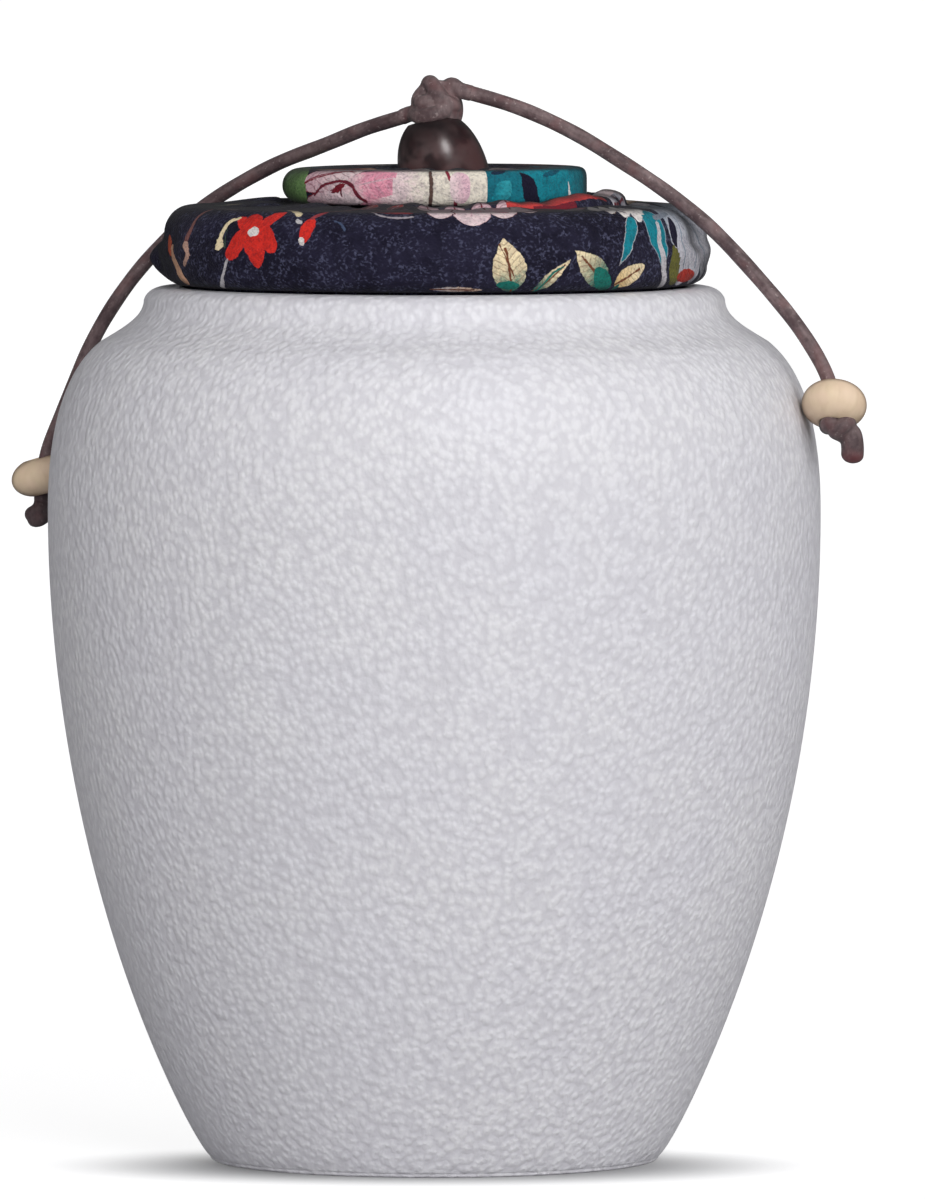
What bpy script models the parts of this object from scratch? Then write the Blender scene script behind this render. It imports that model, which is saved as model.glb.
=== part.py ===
"""A small ceramic funeral urn with a cloth-covered lid.

A hollow white jar stands on its foot ring. A padded, cloth-covered lid rests on its rim and has a plug
that drops into the mouth. On the lid sit a smaller cloth-covered button, a dark wooden knob bead and the
knot of a waxed cord. The cord's two ends fall over the lid, one to each side, and each carries a pale wooden
bead that is held by a knot.

The origin is on the jar's axis where the foot ring meets the table. +Z is up, +X is to the right of someone
who faces the urn's front, and -Y is the front.
"""

import math

import bmesh
import bpy
from mathutils import Matrix, Vector

MM = 0.001
GAP = 0.3 * MM  # between two pieces that touch

# The jar, from the foot up
FOOT_RADIUS = 29.1 * MM
FOOT_EDGE = 0.5 * MM
FOOT_RING_WIDTH = 5.0 * MM
FOOT_RECESS = 1.4 * MM
BELLY_RADIUS = 50.1 * MM
BELLY_HEIGHT = 84.0 * MM
SHOULDER_RADIUS = 43.2 * MM
SHOULDER_RISE = 21.9 * MM
NECK_RADIUS = 37.6 * MM
NECK_RISE = 5.0 * MM
LIP_RISE = 2.1 * MM
LIP_ROUND = 2.7 * MM
LIP_INNER_ROUND = 1.2 * MM
LIP_THICKNESS = 6.0 * MM
WALL = 4.0 * MM
FLOOR = 5.0 * MM
# How far the outline's curve handles lie from their ends: the belly's two are shares of a height
FOOT_HANDLE = (1.6 * MM, 0.4 * MM)
SHOULDER_HANDLE = (3.7 * MM, 2.9 * MM)
NECK_START_HANDLE = (3.2 * MM, 1.9 * MM)
NECK_END_HANDLE = (0.3 * MM, 1.9 * MM)
BELLY_BELOW = 0.43
BELLY_ABOVE = 0.6

# The lid's large pad
PAD_RADIUS = 35.6 * MM
PAD_THICKNESS = 10.2 * MM
PAD_TOP_ROUND = 4.0 * MM
PAD_BOTTOM_ROUND = 2.2 * MM
PAD_BULGE = 0.5 * MM
PLUG_DEPTH = 7.0 * MM
PLUG_CLEARANCE = 0.8 * MM
PLUG_ROUND = 1.5 * MM
PLEAT_RISE = 1.1 * MM
PLEATS = 11
PUFF_RISE = 1.3 * MM
PUFF_ANGLE = math.radians(-6)
PUFF_WIDTH = math.radians(40)
CORD_DENT = 1.3 * MM
CORD_DENT_WIDTH = math.radians(13)

# The button on the pad
BUTTON_RADIUS = 19.6 * MM
BUTTON_THICKNESS = 4.6 * MM
BUTTON_ROUND = 1.7 * MM
HOLLOW_RADIUS = 15.0 * MM
HOLLOW_DEPTH = 1.8 * MM
DIMPLE_CLEARANCE = 0.5 * MM
DIMPLE_FLARE = 2.2 * MM
DIMPLE_FLOOR_THICKNESS = 1.2 * MM

# The knob bead, which leans to the left
KNOB_RADIUS = 5.8 * MM
KNOB_TOP_RADIUS = 3.6 * MM
KNOB_RISE = 7.5 * MM
KNOB_DROP = 2.8 * MM
KNOB_BORE = 2.4 * MM
KNOB_OFFSET = 1.5 * MM
KNOB_LEAN = math.radians(-16)

# The cord, its beads and its knots
CORD_DIAMETER = 2.1 * MM
BEAD_RADIUS = 4.2 * MM
BEAD_HEIGHT = 5.4 * MM
BEAD_CLEARANCE = 0.45 * MM

# How finely round shapes are divided
JAR_SEGMENTS = 40
PAD_SEGMENTS = 44
BUTTON_SEGMENTS = 30
BEAD_SEGMENTS = 16
CORD_POINT_SPACING = 4.6 * MM
KNOT_VOXEL = 0.28 * MM
KNOT_FACES = 360

# Heights that follow from the sizes above
SHOULDER_HEIGHT = BELLY_HEIGHT + SHOULDER_RISE
NECK_HEIGHT = SHOULDER_HEIGHT + NECK_RISE
RIM_HEIGHT = NECK_HEIGHT + LIP_RISE
MOUTH_RADIUS = NECK_RADIUS - LIP_THICKNESS
BEAD_BORE = CORD_DIAMETER / 2 + BEAD_CLEARANCE
PAD_BASE = RIM_HEIGHT + GAP
PAD_TOP = PAD_BASE + PAD_THICKNESS
PAD_BAND = PAD_RADIUS - PAD_TOP_ROUND - BUTTON_RADIUS
BUTTON_BASE = PAD_TOP + GAP
BUTTON_TOP = BUTTON_BASE + BUTTON_THICKNESS
DIMPLE_RADIUS = KNOB_RADIUS + DIMPLE_CLEARANCE
DIMPLE_FLOOR = BUTTON_BASE - HOLLOW_DEPTH + DIMPLE_FLOOR_THICKNESS
KNOB_REACH = math.hypot(KNOB_DROP * math.cos(KNOB_LEAN), KNOB_RADIUS * math.sin(KNOB_LEAN))
KNOB_CENTRE = Vector((KNOB_OFFSET, 0, DIMPLE_FLOOR + GAP + KNOB_REACH))

# The cord's route on each side, from the top knot to the end knot, in route units: X, Y and the height
# above the jar's rim
ROUTE_UNIT = 1.0 * MM
RIGHT_ROUTE = (
    (4.6, -1.0, 25.0), (7.2, -1.6, 24.3), (10.7, -2.3, 23.3), (13.3, -2.9, 22.2), (15.7, -3.4, 21.1),
    (19.6, -4.3, 19.1), (22.9, -5.0, 17.0), (26.0, -5.7, 15.1), (28.9, -6.4, 13.1), (31.7, -7.0, 11.1),
    (34.4, -7.6, 9.0), (36.6, -8.1, 6.9), (38.6, -8.5, 4.8), (40.5, -8.9, 2.7), (42.4, -9.2, 0.6),
    (44.2, -9.5, -1.5), (46.7, -9.8, -4.6), (48.7, -9.9, -7.7), (50.2, -10.0, -10.1), (51.2, -10.3, -12.4),
    (51.4, -11.5, -14.8), (51.6, -12.7, -17.2),
)
LEFT_ROUTE = (
    (-4.0, 1.7, 21.9), (-5.4, 2.6, 21.4), (-7.2, 3.8, 20.9), (-9.8, 5.4, 20.0), (-12.4, 7.0, 18.8),
    (-15.2, 8.7, 17.7), (-18.0, 10.5, 16.6), (-20.5, 12.1, 15.6), (-22.6, 13.4, 14.4),
    (-24.6, 14.5, 13.4), (-26.2, 15.5, 12.4), (-27.8, 16.4, 11.4), (-29.4, 17.2, 10.3),
    (-31.1, 17.9, 9.1), (-32.8, 18.4, 7.6), (-34.7, 18.6, 5.8), (-36.7, 18.7, 3.7),
    (-38.4, 18.7, 1.8), (-40.0, 18.7, -0.3), (-41.5, 18.7, -2.4), (-43.6, 18.7, -5.7),
    (-45.2, 18.7, -8.9), (-46.6, 18.6, -12.2), (-47.8, 18.6, -15.3), (-49.1, 18.5, -18.4),
    (-50.3, 18.5, -21.1),
    (-50.9, 18.5, -22.9), (-51.1, 18.5, -25.3), (-51.3, 18.5, -28.0),
)

# Where the cord crosses the pad's top edge on each side, as angles from +X
RIGHT_CORD_ANGLE = math.radians(-12.4)
LEFT_CORD_ANGLE = math.radians(149)

# A knot's strands as points in cord diameters: X to the right, Y to the back, Z up. In the top knot the
# first strand comes up from the knob's bore, goes over to the front, round the right side and the back, and
# leaves to the right. The second goes up the right side, drops to the front, wraps the foot and leaves to
# the left.
RIGHT_STRAND = (
    (-0.4, 0.05, 0.4), (-0.7, 0.45, 1.05), (-0.75, 0.5, 1.75), (-0.35, 0.15, 2.5), (0.05, -0.3, 2.6),
    (0.45, -0.8, 2.05), (0.9, -0.95, 1.5), (1.5, -0.45, 1.4), (1.45, 0.5, 1.35), (0.7, 1.05, 1.25),
    (-0.15, 0.9, 1.4), (-0.65, 0.2, 1.6), (-0.4, -0.5, 1.45), (0.2, -0.4, 1.5), (0.8, 0.05, 2.0),
    (1.3, 0.0, 2.45),
)
LEFT_STRAND = (
    (0.55, 0.05, 0.45), (1.1, 0.3, 1.0), (1.6, 0.4, 1.35), (1.2, 0.7, 1.85), (0.4, 0.4, 1.9),
    (0.2, -0.2, 1.4), (0.75, -0.85, 1.05), (0.6, -1.2, 0.8), (0.0, -1.2, 0.6), (-0.6, -0.7, 0.55),
)
# The end knots' strands start in the bead's bore, turn once under the bead and end in a short tail.
RIGHT_END_STRAND = (
    (-0.15, -0.15, -0.6), (-0.8, -0.4, -0.75), (-0.6, 0.4, -0.85), (0.2, 0.55, -0.8), (0.75, 0.0, -0.65),
    (0.4, -0.75, -0.65), (-0.05, -0.4, -0.95), (0.3, 0.1, -1.15), (0.7, 0.0, -1.4), (0.7, 0.0, -1.85),
    (0.62, 0.0, -2.35),
)
LEFT_END_STRAND = (
    (0.1, -0.1, -0.6), (0.75, 0.2, -0.7), (0.3, 0.7, -0.7), (-0.45, 0.35, -0.65), (-0.45, -0.45, -0.7),
    (0.3, -0.5, -0.8), (0.35, 0.1, -1.05), (0.0, 0.15, -1.3), (-0.15, 0.05, -1.65), (-0.2, 0.0, -2.15),
)
TAIL_SWELL = 1.45  # how many times thicker than the cord its cut end is

MATERIALS = {
    "ceramic": ((0.74, 0.73, 0.75, 1.0), 0.55),
    "cloth": ((0.022, 0.022, 0.05, 1.0), 0.9),
    "dark_wood": ((0.045, 0.022, 0.018, 1.0), 0.3),
    "pale_wood": ((0.63, 0.47, 0.30, 1.0), 0.45),
    "cord": ((0.075, 0.05, 0.05, 1.0), 0.65),
}


def clear_scene():
    for old in list(bpy.data.objects):
        bpy.data.objects.remove(old)


def material(name):
    """A plain Principled BSDF of that name's colour and roughness."""
    made = bpy.data.materials.get(name)
    if made is None:
        colour, roughness = MATERIALS[name]
        made = bpy.data.materials.new(name)
        made.use_nodes = True
        shader = made.node_tree.nodes["Principled BSDF"]
        shader.inputs["Base Color"].default_value = colour
        shader.inputs["Roughness"].default_value = roughness
    return made


def add(name, mesh, finish):
    """A smooth-shaded object that holds the mesh."""
    mesh.shade_smooth()
    mesh.set_sharp_from_angle(angle=math.radians(35))
    made = bpy.data.objects.new(name, mesh)
    mesh.materials.append(material(finish))
    bpy.context.scene.collection.objects.link(made)
    return made


def bezier(start, start_handle, end_handle, end, count):
    """Points along a cubic Bezier curve, without its first point."""
    points = []
    for i in range(1, count + 1):
        t = i / count
        u = 1 - t
        points.append(
            tuple(
                u**3 * a + 3 * u * u * t * b + 3 * u * t * t * c + t**3 * d
                for a, b, c, d in zip(start, start_handle, end_handle, end)
            )
        )
    return points


def rounding(start, corner, end, count):
    """A rounded corner from start to end, without its first point."""
    share = 0.552  # the handle length that makes a cubic Bezier nearly a quarter circle
    handles = [tuple(p + (c - p) * share for p, c in zip(point, corner)) for point in (start, end)]
    return bezier(start, handles[0], handles[1], end, count)


def turned(name, outline, segments, finish, ring=False):
    """Spins an outline of (radius, height) points about Z. A ring's outline is closed."""
    mesh_maker = bmesh.new()
    points = [mesh_maker.verts.new((radius, 0, height)) for radius, height in outline]
    pairs = list(zip(points, points[1:]))
    if ring:
        pairs.append((points[-1], points[0]))
    edges = [mesh_maker.edges.new(pair) for pair in pairs]
    bmesh.ops.spin(
        mesh_maker, geom=points + edges, axis=(0, 0, 1), cent=(0, 0, 0), angle=math.tau, steps=segments
    )
    bmesh.ops.remove_doubles(mesh_maker, verts=mesh_maker.verts, dist=1e-6)
    bmesh.ops.recalc_face_normals(mesh_maker, faces=mesh_maker.faces)
    mesh = bpy.data.meshes.new(name)
    mesh_maker.to_mesh(mesh)
    mesh_maker.free()
    return add(name, mesh, finish)


def jar_outside():
    """The outside of the jar's wall from the foot's edge to the top of the rim."""
    foot = (FOOT_RADIUS, FOOT_EDGE)
    belly = (BELLY_RADIUS, BELLY_HEIGHT)
    shoulder = (SHOULDER_RADIUS, SHOULDER_HEIGHT)
    neck = (NECK_RADIUS, NECK_HEIGHT)
    lip = (NECK_RADIUS - LIP_ROUND, RIM_HEIGHT)
    lower = (BELLY_RADIUS, BELLY_HEIGHT * BELLY_BELOW)
    flare = (FOOT_RADIUS + FOOT_HANDLE[0], FOOT_EDGE + FOOT_HANDLE[1])
    over_belly = (BELLY_RADIUS, BELLY_HEIGHT + SHOULDER_RISE * BELLY_ABOVE)
    into_shoulder = (SHOULDER_RADIUS + SHOULDER_HANDLE[0], SHOULDER_HEIGHT - SHOULDER_HANDLE[1])
    from_shoulder = (SHOULDER_RADIUS - NECK_START_HANDLE[0], SHOULDER_HEIGHT + NECK_START_HANDLE[1])
    into_neck = (NECK_RADIUS + NECK_END_HANDLE[0], NECK_HEIGHT - NECK_END_HANDLE[1])
    outline = [foot]
    outline += bezier(foot, flare, lower, belly, 11)
    outline += bezier(belly, over_belly, into_shoulder, shoulder, 8)
    outline += bezier(shoulder, from_shoulder, into_neck, neck, 4)
    outline += rounding(neck, (NECK_RADIUS, RIM_HEIGHT), lip, 3)
    return outline


def jar_inside():
    """The inside of the wall from the rim down to the middle of the floor."""
    rim = (MOUTH_RADIUS + LIP_INNER_ROUND, RIM_HEIGHT)
    throat = (MOUTH_RADIUS, NECK_HEIGHT - NECK_RISE)
    belly = (BELLY_RADIUS - WALL, BELLY_HEIGHT)
    floor_edge = (FOOT_RADIUS - WALL, FLOOR)
    from_throat = (MOUTH_RADIUS + WALL, SHOULDER_HEIGHT - WALL)
    over_belly = (BELLY_RADIUS - WALL, BELLY_HEIGHT + SHOULDER_RISE * BELLY_ABOVE)
    under_belly = (BELLY_RADIUS - WALL, BELLY_HEIGHT * BELLY_BELOW)
    into_floor = (FOOT_RADIUS, FLOOR + WALL * 0.4)
    outline = [rim]
    outline += rounding(rim, (MOUTH_RADIUS, RIM_HEIGHT), (MOUTH_RADIUS, RIM_HEIGHT - LIP_INNER_ROUND), 2)
    outline += [throat]
    outline += bezier(throat, from_throat, over_belly, belly, 4)
    outline += bezier(belly, under_belly, into_floor, floor_edge, 6)
    outline.append((0, FLOOR))
    return outline


def make_jar():
    """The hollow jar: down the inside from the rim, out under the foot ring, and up the outside."""
    ring_inner = FOOT_RADIUS - FOOT_EDGE - FOOT_RING_WIDTH
    outline = list(reversed(jar_inside()))
    outline += list(reversed(jar_outside()))
    outline += [
        (FOOT_RADIUS - FOOT_EDGE, 0),
        (ring_inner, 0),
        (ring_inner - FOOT_EDGE, FOOT_RECESS),
        (0, FOOT_RECESS),
    ]
    return turned("jar", outline, JAR_SEGMENTS, "ceramic")


def smooth_step(low, high, value):
    t = min(1.0, max(0.0, (value - low) / (high - low)))
    return t * t * (3 - 2 * t)


def angle_between(a, b):
    return abs((a - b + math.pi) % math.tau - math.pi)


def shape_pad(pad):
    """Raises the cloth gathered round the button, and presses the top edge in under each cord."""
    for point in pad.data.vertices:
        radius = math.hypot(point.co.x, point.co.y)
        angle = math.atan2(point.co.y, point.co.x)
        if point.co.z < PAD_TOP - PAD_TOP_ROUND - PAD_BULGE or radius < 1e-6:
            continue
        out = (radius - BUTTON_RADIUS) / PAD_BAND
        gathered = 1 - smooth_step(0.17, 1.0, out)
        clear_of_button = smooth_step(-0.1, 0.15, out)
        fold = 0.5 + 0.35 * math.cos(PLEATS * angle + 0.6) + 0.15 * math.cos(3 * angle - 1.1)
        on_top = smooth_step(PAD_TOP - PAD_TOP_ROUND, PAD_TOP, point.co.z)
        puffed = math.exp(-((angle_between(angle, PUFF_ANGLE) / PUFF_WIDTH) ** 2))
        puffed *= 1 - smooth_step(0.25, 0.6, out)
        rise = (PLEAT_RISE * fold * gathered + PUFF_RISE * puffed) * clear_of_button * on_top
        corner = math.hypot(radius - PAD_RADIUS, point.co.z - PAD_TOP)
        near_corner = 1 - smooth_step(PAD_TOP_ROUND * 0.4, PAD_TOP_ROUND * 2.2, corner)
        near_cord = sum(
            math.exp(-((angle_between(angle, cord) / CORD_DENT_WIDTH) ** 2))
            for cord in (RIGHT_CORD_ANGLE, LEFT_CORD_ANGLE)
        )
        press = CORD_DENT * near_corner * near_cord
        scale = (radius - press * 0.7) / radius
        point.co.x *= scale
        point.co.y *= scale
        point.co.z += rise - press * 0.7


def hollow(height):
    """The shallow hollow where the button is drawn down into the pad, as an outline from the axis."""
    outline = []
    for i in range(4):
        share = i / 3
        outline.append((HOLLOW_RADIUS * share, height - HOLLOW_DEPTH * (1 + math.cos(math.pi * share)) / 2))
    return outline


def make_lid_pad():
    """The large pad, which rests on the rim, with the plug under it that fills the mouth."""
    side = PAD_RADIUS - PAD_BULGE
    plug = MOUTH_RADIUS - PLUG_CLEARANCE
    plug_base = RIM_HEIGHT - PLUG_DEPTH
    top_edge = (PAD_RADIUS - PAD_TOP_ROUND, PAD_TOP)
    shoulder = (side, PAD_TOP - PAD_TOP_ROUND)
    waist = (PAD_RADIUS, PAD_BASE + PAD_THICKNESS * 0.45)
    heel = (side, PAD_BASE + PAD_BOTTOM_ROUND)
    sole = (side - PAD_BOTTOM_ROUND, PAD_BASE)
    outline = hollow(PAD_TOP) + [
        *((BUTTON_RADIUS + PAD_BAND * share, PAD_TOP) for share in (-0.1, 0.12, 0.35, 0.65)),
        top_edge,
    ]
    outline += rounding(top_edge, (side, PAD_TOP), shoulder, 5)
    outline += bezier(shoulder, (PAD_RADIUS, shoulder[1]), (PAD_RADIUS, waist[1]), waist, 2)
    outline += bezier(waist, (PAD_RADIUS, waist[1]), (PAD_RADIUS, heel[1]), heel, 2)
    outline += rounding(heel, (side, PAD_BASE), sole, 3)
    outline.append((plug, PAD_BASE))
    outline += [(plug, plug_base + PLUG_ROUND)]
    outline += rounding((plug, plug_base + PLUG_ROUND), (plug, plug_base), (plug - PLUG_ROUND, plug_base), 2)
    outline.append((0, plug_base))
    pad = turned("lid_pad", outline, PAD_SEGMENTS, "cloth")
    shape_pad(pad)
    return pad


def make_lid_button():
    """The small pad, which is drawn down into a dimple under the knob bead."""
    side = BUTTON_RADIUS
    top_edge = (side - BUTTON_ROUND, BUTTON_TOP)
    middle = (side, BUTTON_BASE + BUTTON_THICKNESS * 0.5)
    floor_edge = (DIMPLE_RADIUS - DIMPLE_FLARE, DIMPLE_FLOOR)
    dimple_side = (DIMPLE_RADIUS, KNOB_CENTRE.z)
    dimple_edge = (DIMPLE_RADIUS + DIMPLE_FLARE, BUTTON_TOP)
    outline = [(0, DIMPLE_FLOOR), floor_edge]
    outline += rounding(floor_edge, (DIMPLE_RADIUS, DIMPLE_FLOOR), dimple_side, 2)
    outline += rounding(dimple_side, (DIMPLE_RADIUS, BUTTON_TOP), dimple_edge, 3)
    outline += [((DIMPLE_RADIUS + DIMPLE_FLARE + top_edge[0]) / 2, BUTTON_TOP), top_edge]
    outline += rounding(top_edge, (side, BUTTON_TOP), middle, 4)
    outline += rounding(middle, (side, BUTTON_BASE), (side - BUTTON_ROUND, BUTTON_BASE), 3)
    outline += list(reversed(hollow(BUTTON_BASE)))
    button = turned("lid_button", outline, BUTTON_SEGMENTS, "cloth")
    for point in button.data.vertices:
        radius = math.hypot(point.co.x, point.co.y)
        above = smooth_step(BUTTON_BASE, KNOB_CENTRE.z, point.co.z)
        point.co.x += KNOB_OFFSET * above * (1 - smooth_step(dimple_edge[0], top_edge[0], radius))
    return button


def make_knob_bead():
    """The dark bead: a tall dome above its widest place and shallow below, bored for two strands."""
    fullness = 2.3
    full_height = KNOB_RISE / (1 - (KNOB_TOP_RADIUS / KNOB_RADIUS) ** fullness) ** (1 / fullness)
    outline = [(KNOB_BORE, KNOB_RISE)]
    for i in range(8):
        height = KNOB_RISE * math.cos(math.pi / 2 * i / 8)
        outline.append((KNOB_RADIUS * (1 - (height / full_height) ** fullness) ** (1 / fullness), height))
    foot_turn = math.acos(KNOB_BORE / KNOB_RADIUS)
    for i in range(6):
        turn = foot_turn * i / 5
        outline.append((KNOB_RADIUS * math.cos(turn), -KNOB_DROP * math.sin(turn)))
    bead = turned("knob_bead", outline, BEAD_SEGMENTS + 4, "dark_wood", ring=True)
    bead.location = KNOB_CENTRE
    bead.rotation_euler = (0, KNOB_LEAN, 0)
    return bead


def smooth_curve(points, spacing):
    """Points about that far apart on the Catmull-Rom curve through the given points."""
    ends = [points[0] * 2 - points[1]] + points + [points[-1] * 2 - points[-2]]
    fine = []
    steps = 24
    for before, start, end, after in zip(ends, ends[1:], ends[2:], ends[3:]):
        for i in range(steps):
            t = i / steps
            fine.append(
                0.5
                * (
                    2 * start
                    + (end - before) * t
                    + (2 * before - 5 * start + 4 * end - after) * t * t
                    + (3 * start - before - 3 * end + after) * t**3
                )
            )
    fine.append(points[-1])
    lengths = [0.0]
    for a, b in zip(fine, fine[1:]):
        lengths.append(lengths[-1] + (b - a).length)
    count = max(2, round(lengths[-1] / spacing))
    chosen = [fine[0]]
    place = 0
    for i in range(1, count):
        wanted = lengths[-1] * i / count
        while lengths[place + 1] < wanted:
            place += 1
        part = (wanted - lengths[place]) / (lengths[place + 1] - lengths[place])
        chosen.append(fine[place].lerp(fine[place + 1], part))
    return chosen + [fine[-1]]


def cord_curve(name, points, diameter, thickness=None):
    """A round tube along the points, as a curve with filled ends. thickness scales it at each point."""
    data = bpy.data.curves.new(name, "CURVE")
    data.dimensions = "3D"
    data.bevel_depth = diameter / 2
    data.bevel_resolution = 2
    data.use_fill_caps = True
    spline = data.splines.new("POLY")
    spline.points.add(len(points) - 1)
    for i, point in enumerate(points):
        spline.points[i].co = (*point, 1)
        spline.points[i].radius = thickness[i] if thickness else 1
    data.materials.append(material("cord"))
    made = bpy.data.objects.new(name, data)
    bpy.context.scene.collection.objects.link(made)
    return made


def placed(route):
    """A route's points in the part's own frame."""
    return [Vector(point) * ROUTE_UNIT + Vector((0, 0, RIM_HEIGHT)) for point in route]


def make_free_cord(name, route):
    return cord_curve(name, smooth_curve(placed(route), CORD_POINT_SPACING), CORD_DIAMETER)


def end_of(route):
    """Where a route ends, and its last direction."""
    before, end = placed(route)[-2:]
    return end, (end - before).normalized()


def make_end_bead(name, route):
    """The pale bead that is threaded on a cord, its lower face level with the cord's end."""
    end, along = end_of(route)
    flatness = 0.7
    outline = []
    for i in range(9):
        angle = math.pi * (0.14 + 0.72 * i / 8)
        height = BEAD_HEIGHT / 2 * math.cos(angle) / math.cos(0.14 * math.pi)
        outline.append((BEAD_RADIUS * math.sin(angle) ** flatness, height))
    outline = [(BEAD_BORE, outline[0][1])] + outline + [(BEAD_BORE, outline[-1][1])]
    bead = turned(name, outline, BEAD_SEGMENTS, "pale_wood", ring=True)
    bead.location = end - along * (BEAD_HEIGHT / 2)
    bead.rotation_euler = Vector((0, 0, -1)).rotation_difference(along).to_euler()
    return bead


def make_knot(name, strands, swell=1.0):
    """One skin round a knot's strands, each of which grows to swell times the cord's thickness at its end."""
    tubes = bmesh.new()
    for strand in strands:
        points = smooth_curve(strand, CORD_DIAMETER / 4)
        shares = [i / (len(points) - 1) for i in range(len(points))]
        grown = [1 + (swell - 1) * smooth_step(0.75, 1.0, share) for share in shares]
        guide = cord_curve(name + "_guide", points, CORD_DIAMETER, grown)
        bpy.context.view_layer.update()
        tube = bpy.data.meshes.new_from_object(guide)
        tubes.from_mesh(tube)
        bpy.data.objects.remove(guide)
        bpy.data.meshes.remove(tube)
    bmesh.ops.remove_doubles(tubes, verts=tubes.verts, dist=1e-7)
    mesh = bpy.data.meshes.new(name)
    tubes.to_mesh(mesh)
    tubes.free()
    knot = add(name, mesh, "cord")
    skin = knot.modifiers.new("one skin", "REMESH")
    skin.mode = "VOXEL"
    skin.voxel_size = KNOT_VOXEL
    skin.use_smooth_shade = True
    bpy.context.view_layer.update()
    dense = len(knot.evaluated_get(bpy.context.evaluated_depsgraph_get()).data.polygons)
    fewer = knot.modifiers.new("fewer faces", "DECIMATE")
    fewer.ratio = min(1.0, KNOT_FACES / (2 * dense))
    return knot


def make_top_knot():
    """The knot on the knob bead. Its strands run down through the bore, and out to where the cords begin."""
    lean = Matrix.Rotation(KNOB_LEAN, 3, "Y")
    foot = KNOB_CENTRE + lean @ Vector((0, 0, KNOB_RISE))
    strands = []
    for strand, route, side in ((RIGHT_STRAND, RIGHT_ROUTE, -1), (LEFT_STRAND, LEFT_ROUTE, 1)):
        beside = side * CORD_DIAMETER / 2
        in_bore = (0, KNOB_RISE - CORD_DIAMETER / 2)
        points = [KNOB_CENTRE + lean @ Vector((beside, 0, height)) for height in in_bore]
        points += [foot + Vector(point) * CORD_DIAMETER for point in strand]
        start, after = placed(route)[:2]
        out = (after - start).normalized()
        points += [start - out * (GAP + CORD_DIAMETER / 2), start - out * GAP]
        strands.append(points)
    return make_knot("top_knot", strands)


def make_end_knot(name, route, strand):
    """The knot under an end bead, with its short tail."""
    end, along = end_of(route)
    points = [end + along * GAP] + [end + Vector(point) * CORD_DIAMETER for point in strand]
    return make_knot(name, [points], TAIL_SWELL)


def main():
    clear_scene()
    make_jar()
    make_lid_pad()
    make_lid_button()
    make_knob_bead()
    make_top_knot()
    for side, route, strand in (
        ("right", RIGHT_ROUTE, RIGHT_END_STRAND),
        ("left", LEFT_ROUTE, LEFT_END_STRAND),
    ):
        make_free_cord("cord_" + side, route)
        make_end_bead("bead_" + side, route)
        make_end_knot("end_knot_" + side, route, strand)


main()
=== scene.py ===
"""The looks of the small ceramic funeral urn with its cloth-covered lid.

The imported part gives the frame. Every visible piece is made here as a finer surface with a procedural
material, in the same place as the solid that it stands for. Sizes are in millimetres until a surface is made.
"""

import math

import bpy
import numpy as np
from mathutils import Matrix, Vector


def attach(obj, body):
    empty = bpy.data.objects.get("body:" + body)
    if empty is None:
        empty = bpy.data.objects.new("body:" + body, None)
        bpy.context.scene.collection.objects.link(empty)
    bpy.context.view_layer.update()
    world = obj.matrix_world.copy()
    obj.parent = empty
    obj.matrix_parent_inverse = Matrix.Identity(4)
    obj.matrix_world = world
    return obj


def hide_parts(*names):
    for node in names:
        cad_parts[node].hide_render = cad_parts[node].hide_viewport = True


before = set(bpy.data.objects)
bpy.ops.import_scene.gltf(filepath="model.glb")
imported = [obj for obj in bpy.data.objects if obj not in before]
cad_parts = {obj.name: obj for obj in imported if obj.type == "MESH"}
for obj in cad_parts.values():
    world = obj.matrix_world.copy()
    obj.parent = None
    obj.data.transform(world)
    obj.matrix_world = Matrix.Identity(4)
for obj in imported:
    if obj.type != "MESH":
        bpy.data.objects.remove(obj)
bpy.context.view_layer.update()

MM = 0.001
GAP = 0.3

# The jar, as in the part's source
FOOT_RADIUS = 29.1
FOOT_EDGE = 0.5
FOOT_RING_WIDTH = 5.0
FOOT_RECESS = 1.4
BELLY_RADIUS = 50.1
BELLY_HEIGHT = 84.0
SHOULDER_RADIUS = 43.2
SHOULDER_RISE = 21.9
NECK_RADIUS = 37.6
NECK_RISE = 5.0
LIP_RISE = 2.1
LIP_ROUND = 2.7
LIP_INNER_ROUND = 1.2
LIP_THICKNESS = 6.0
WALL = 4.0
FLOOR = 5.0
# How far the outline's curve handles lie from their ends: the belly's two are shares of a height
FOOT_HANDLE = (1.6, 0.4)
SHOULDER_HANDLE = (3.7, 2.9)
NECK_START_HANDLE = (3.2, 1.9)
NECK_END_HANDLE = (0.3, 1.9)
BELLY_BELOW = 0.43
BELLY_ABOVE = 0.6
SHOULDER_HEIGHT = BELLY_HEIGHT + SHOULDER_RISE
NECK_HEIGHT = SHOULDER_HEIGHT + NECK_RISE
RIM_HEIGHT = NECK_HEIGHT + LIP_RISE
MOUTH_RADIUS = NECK_RADIUS - LIP_THICKNESS

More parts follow.
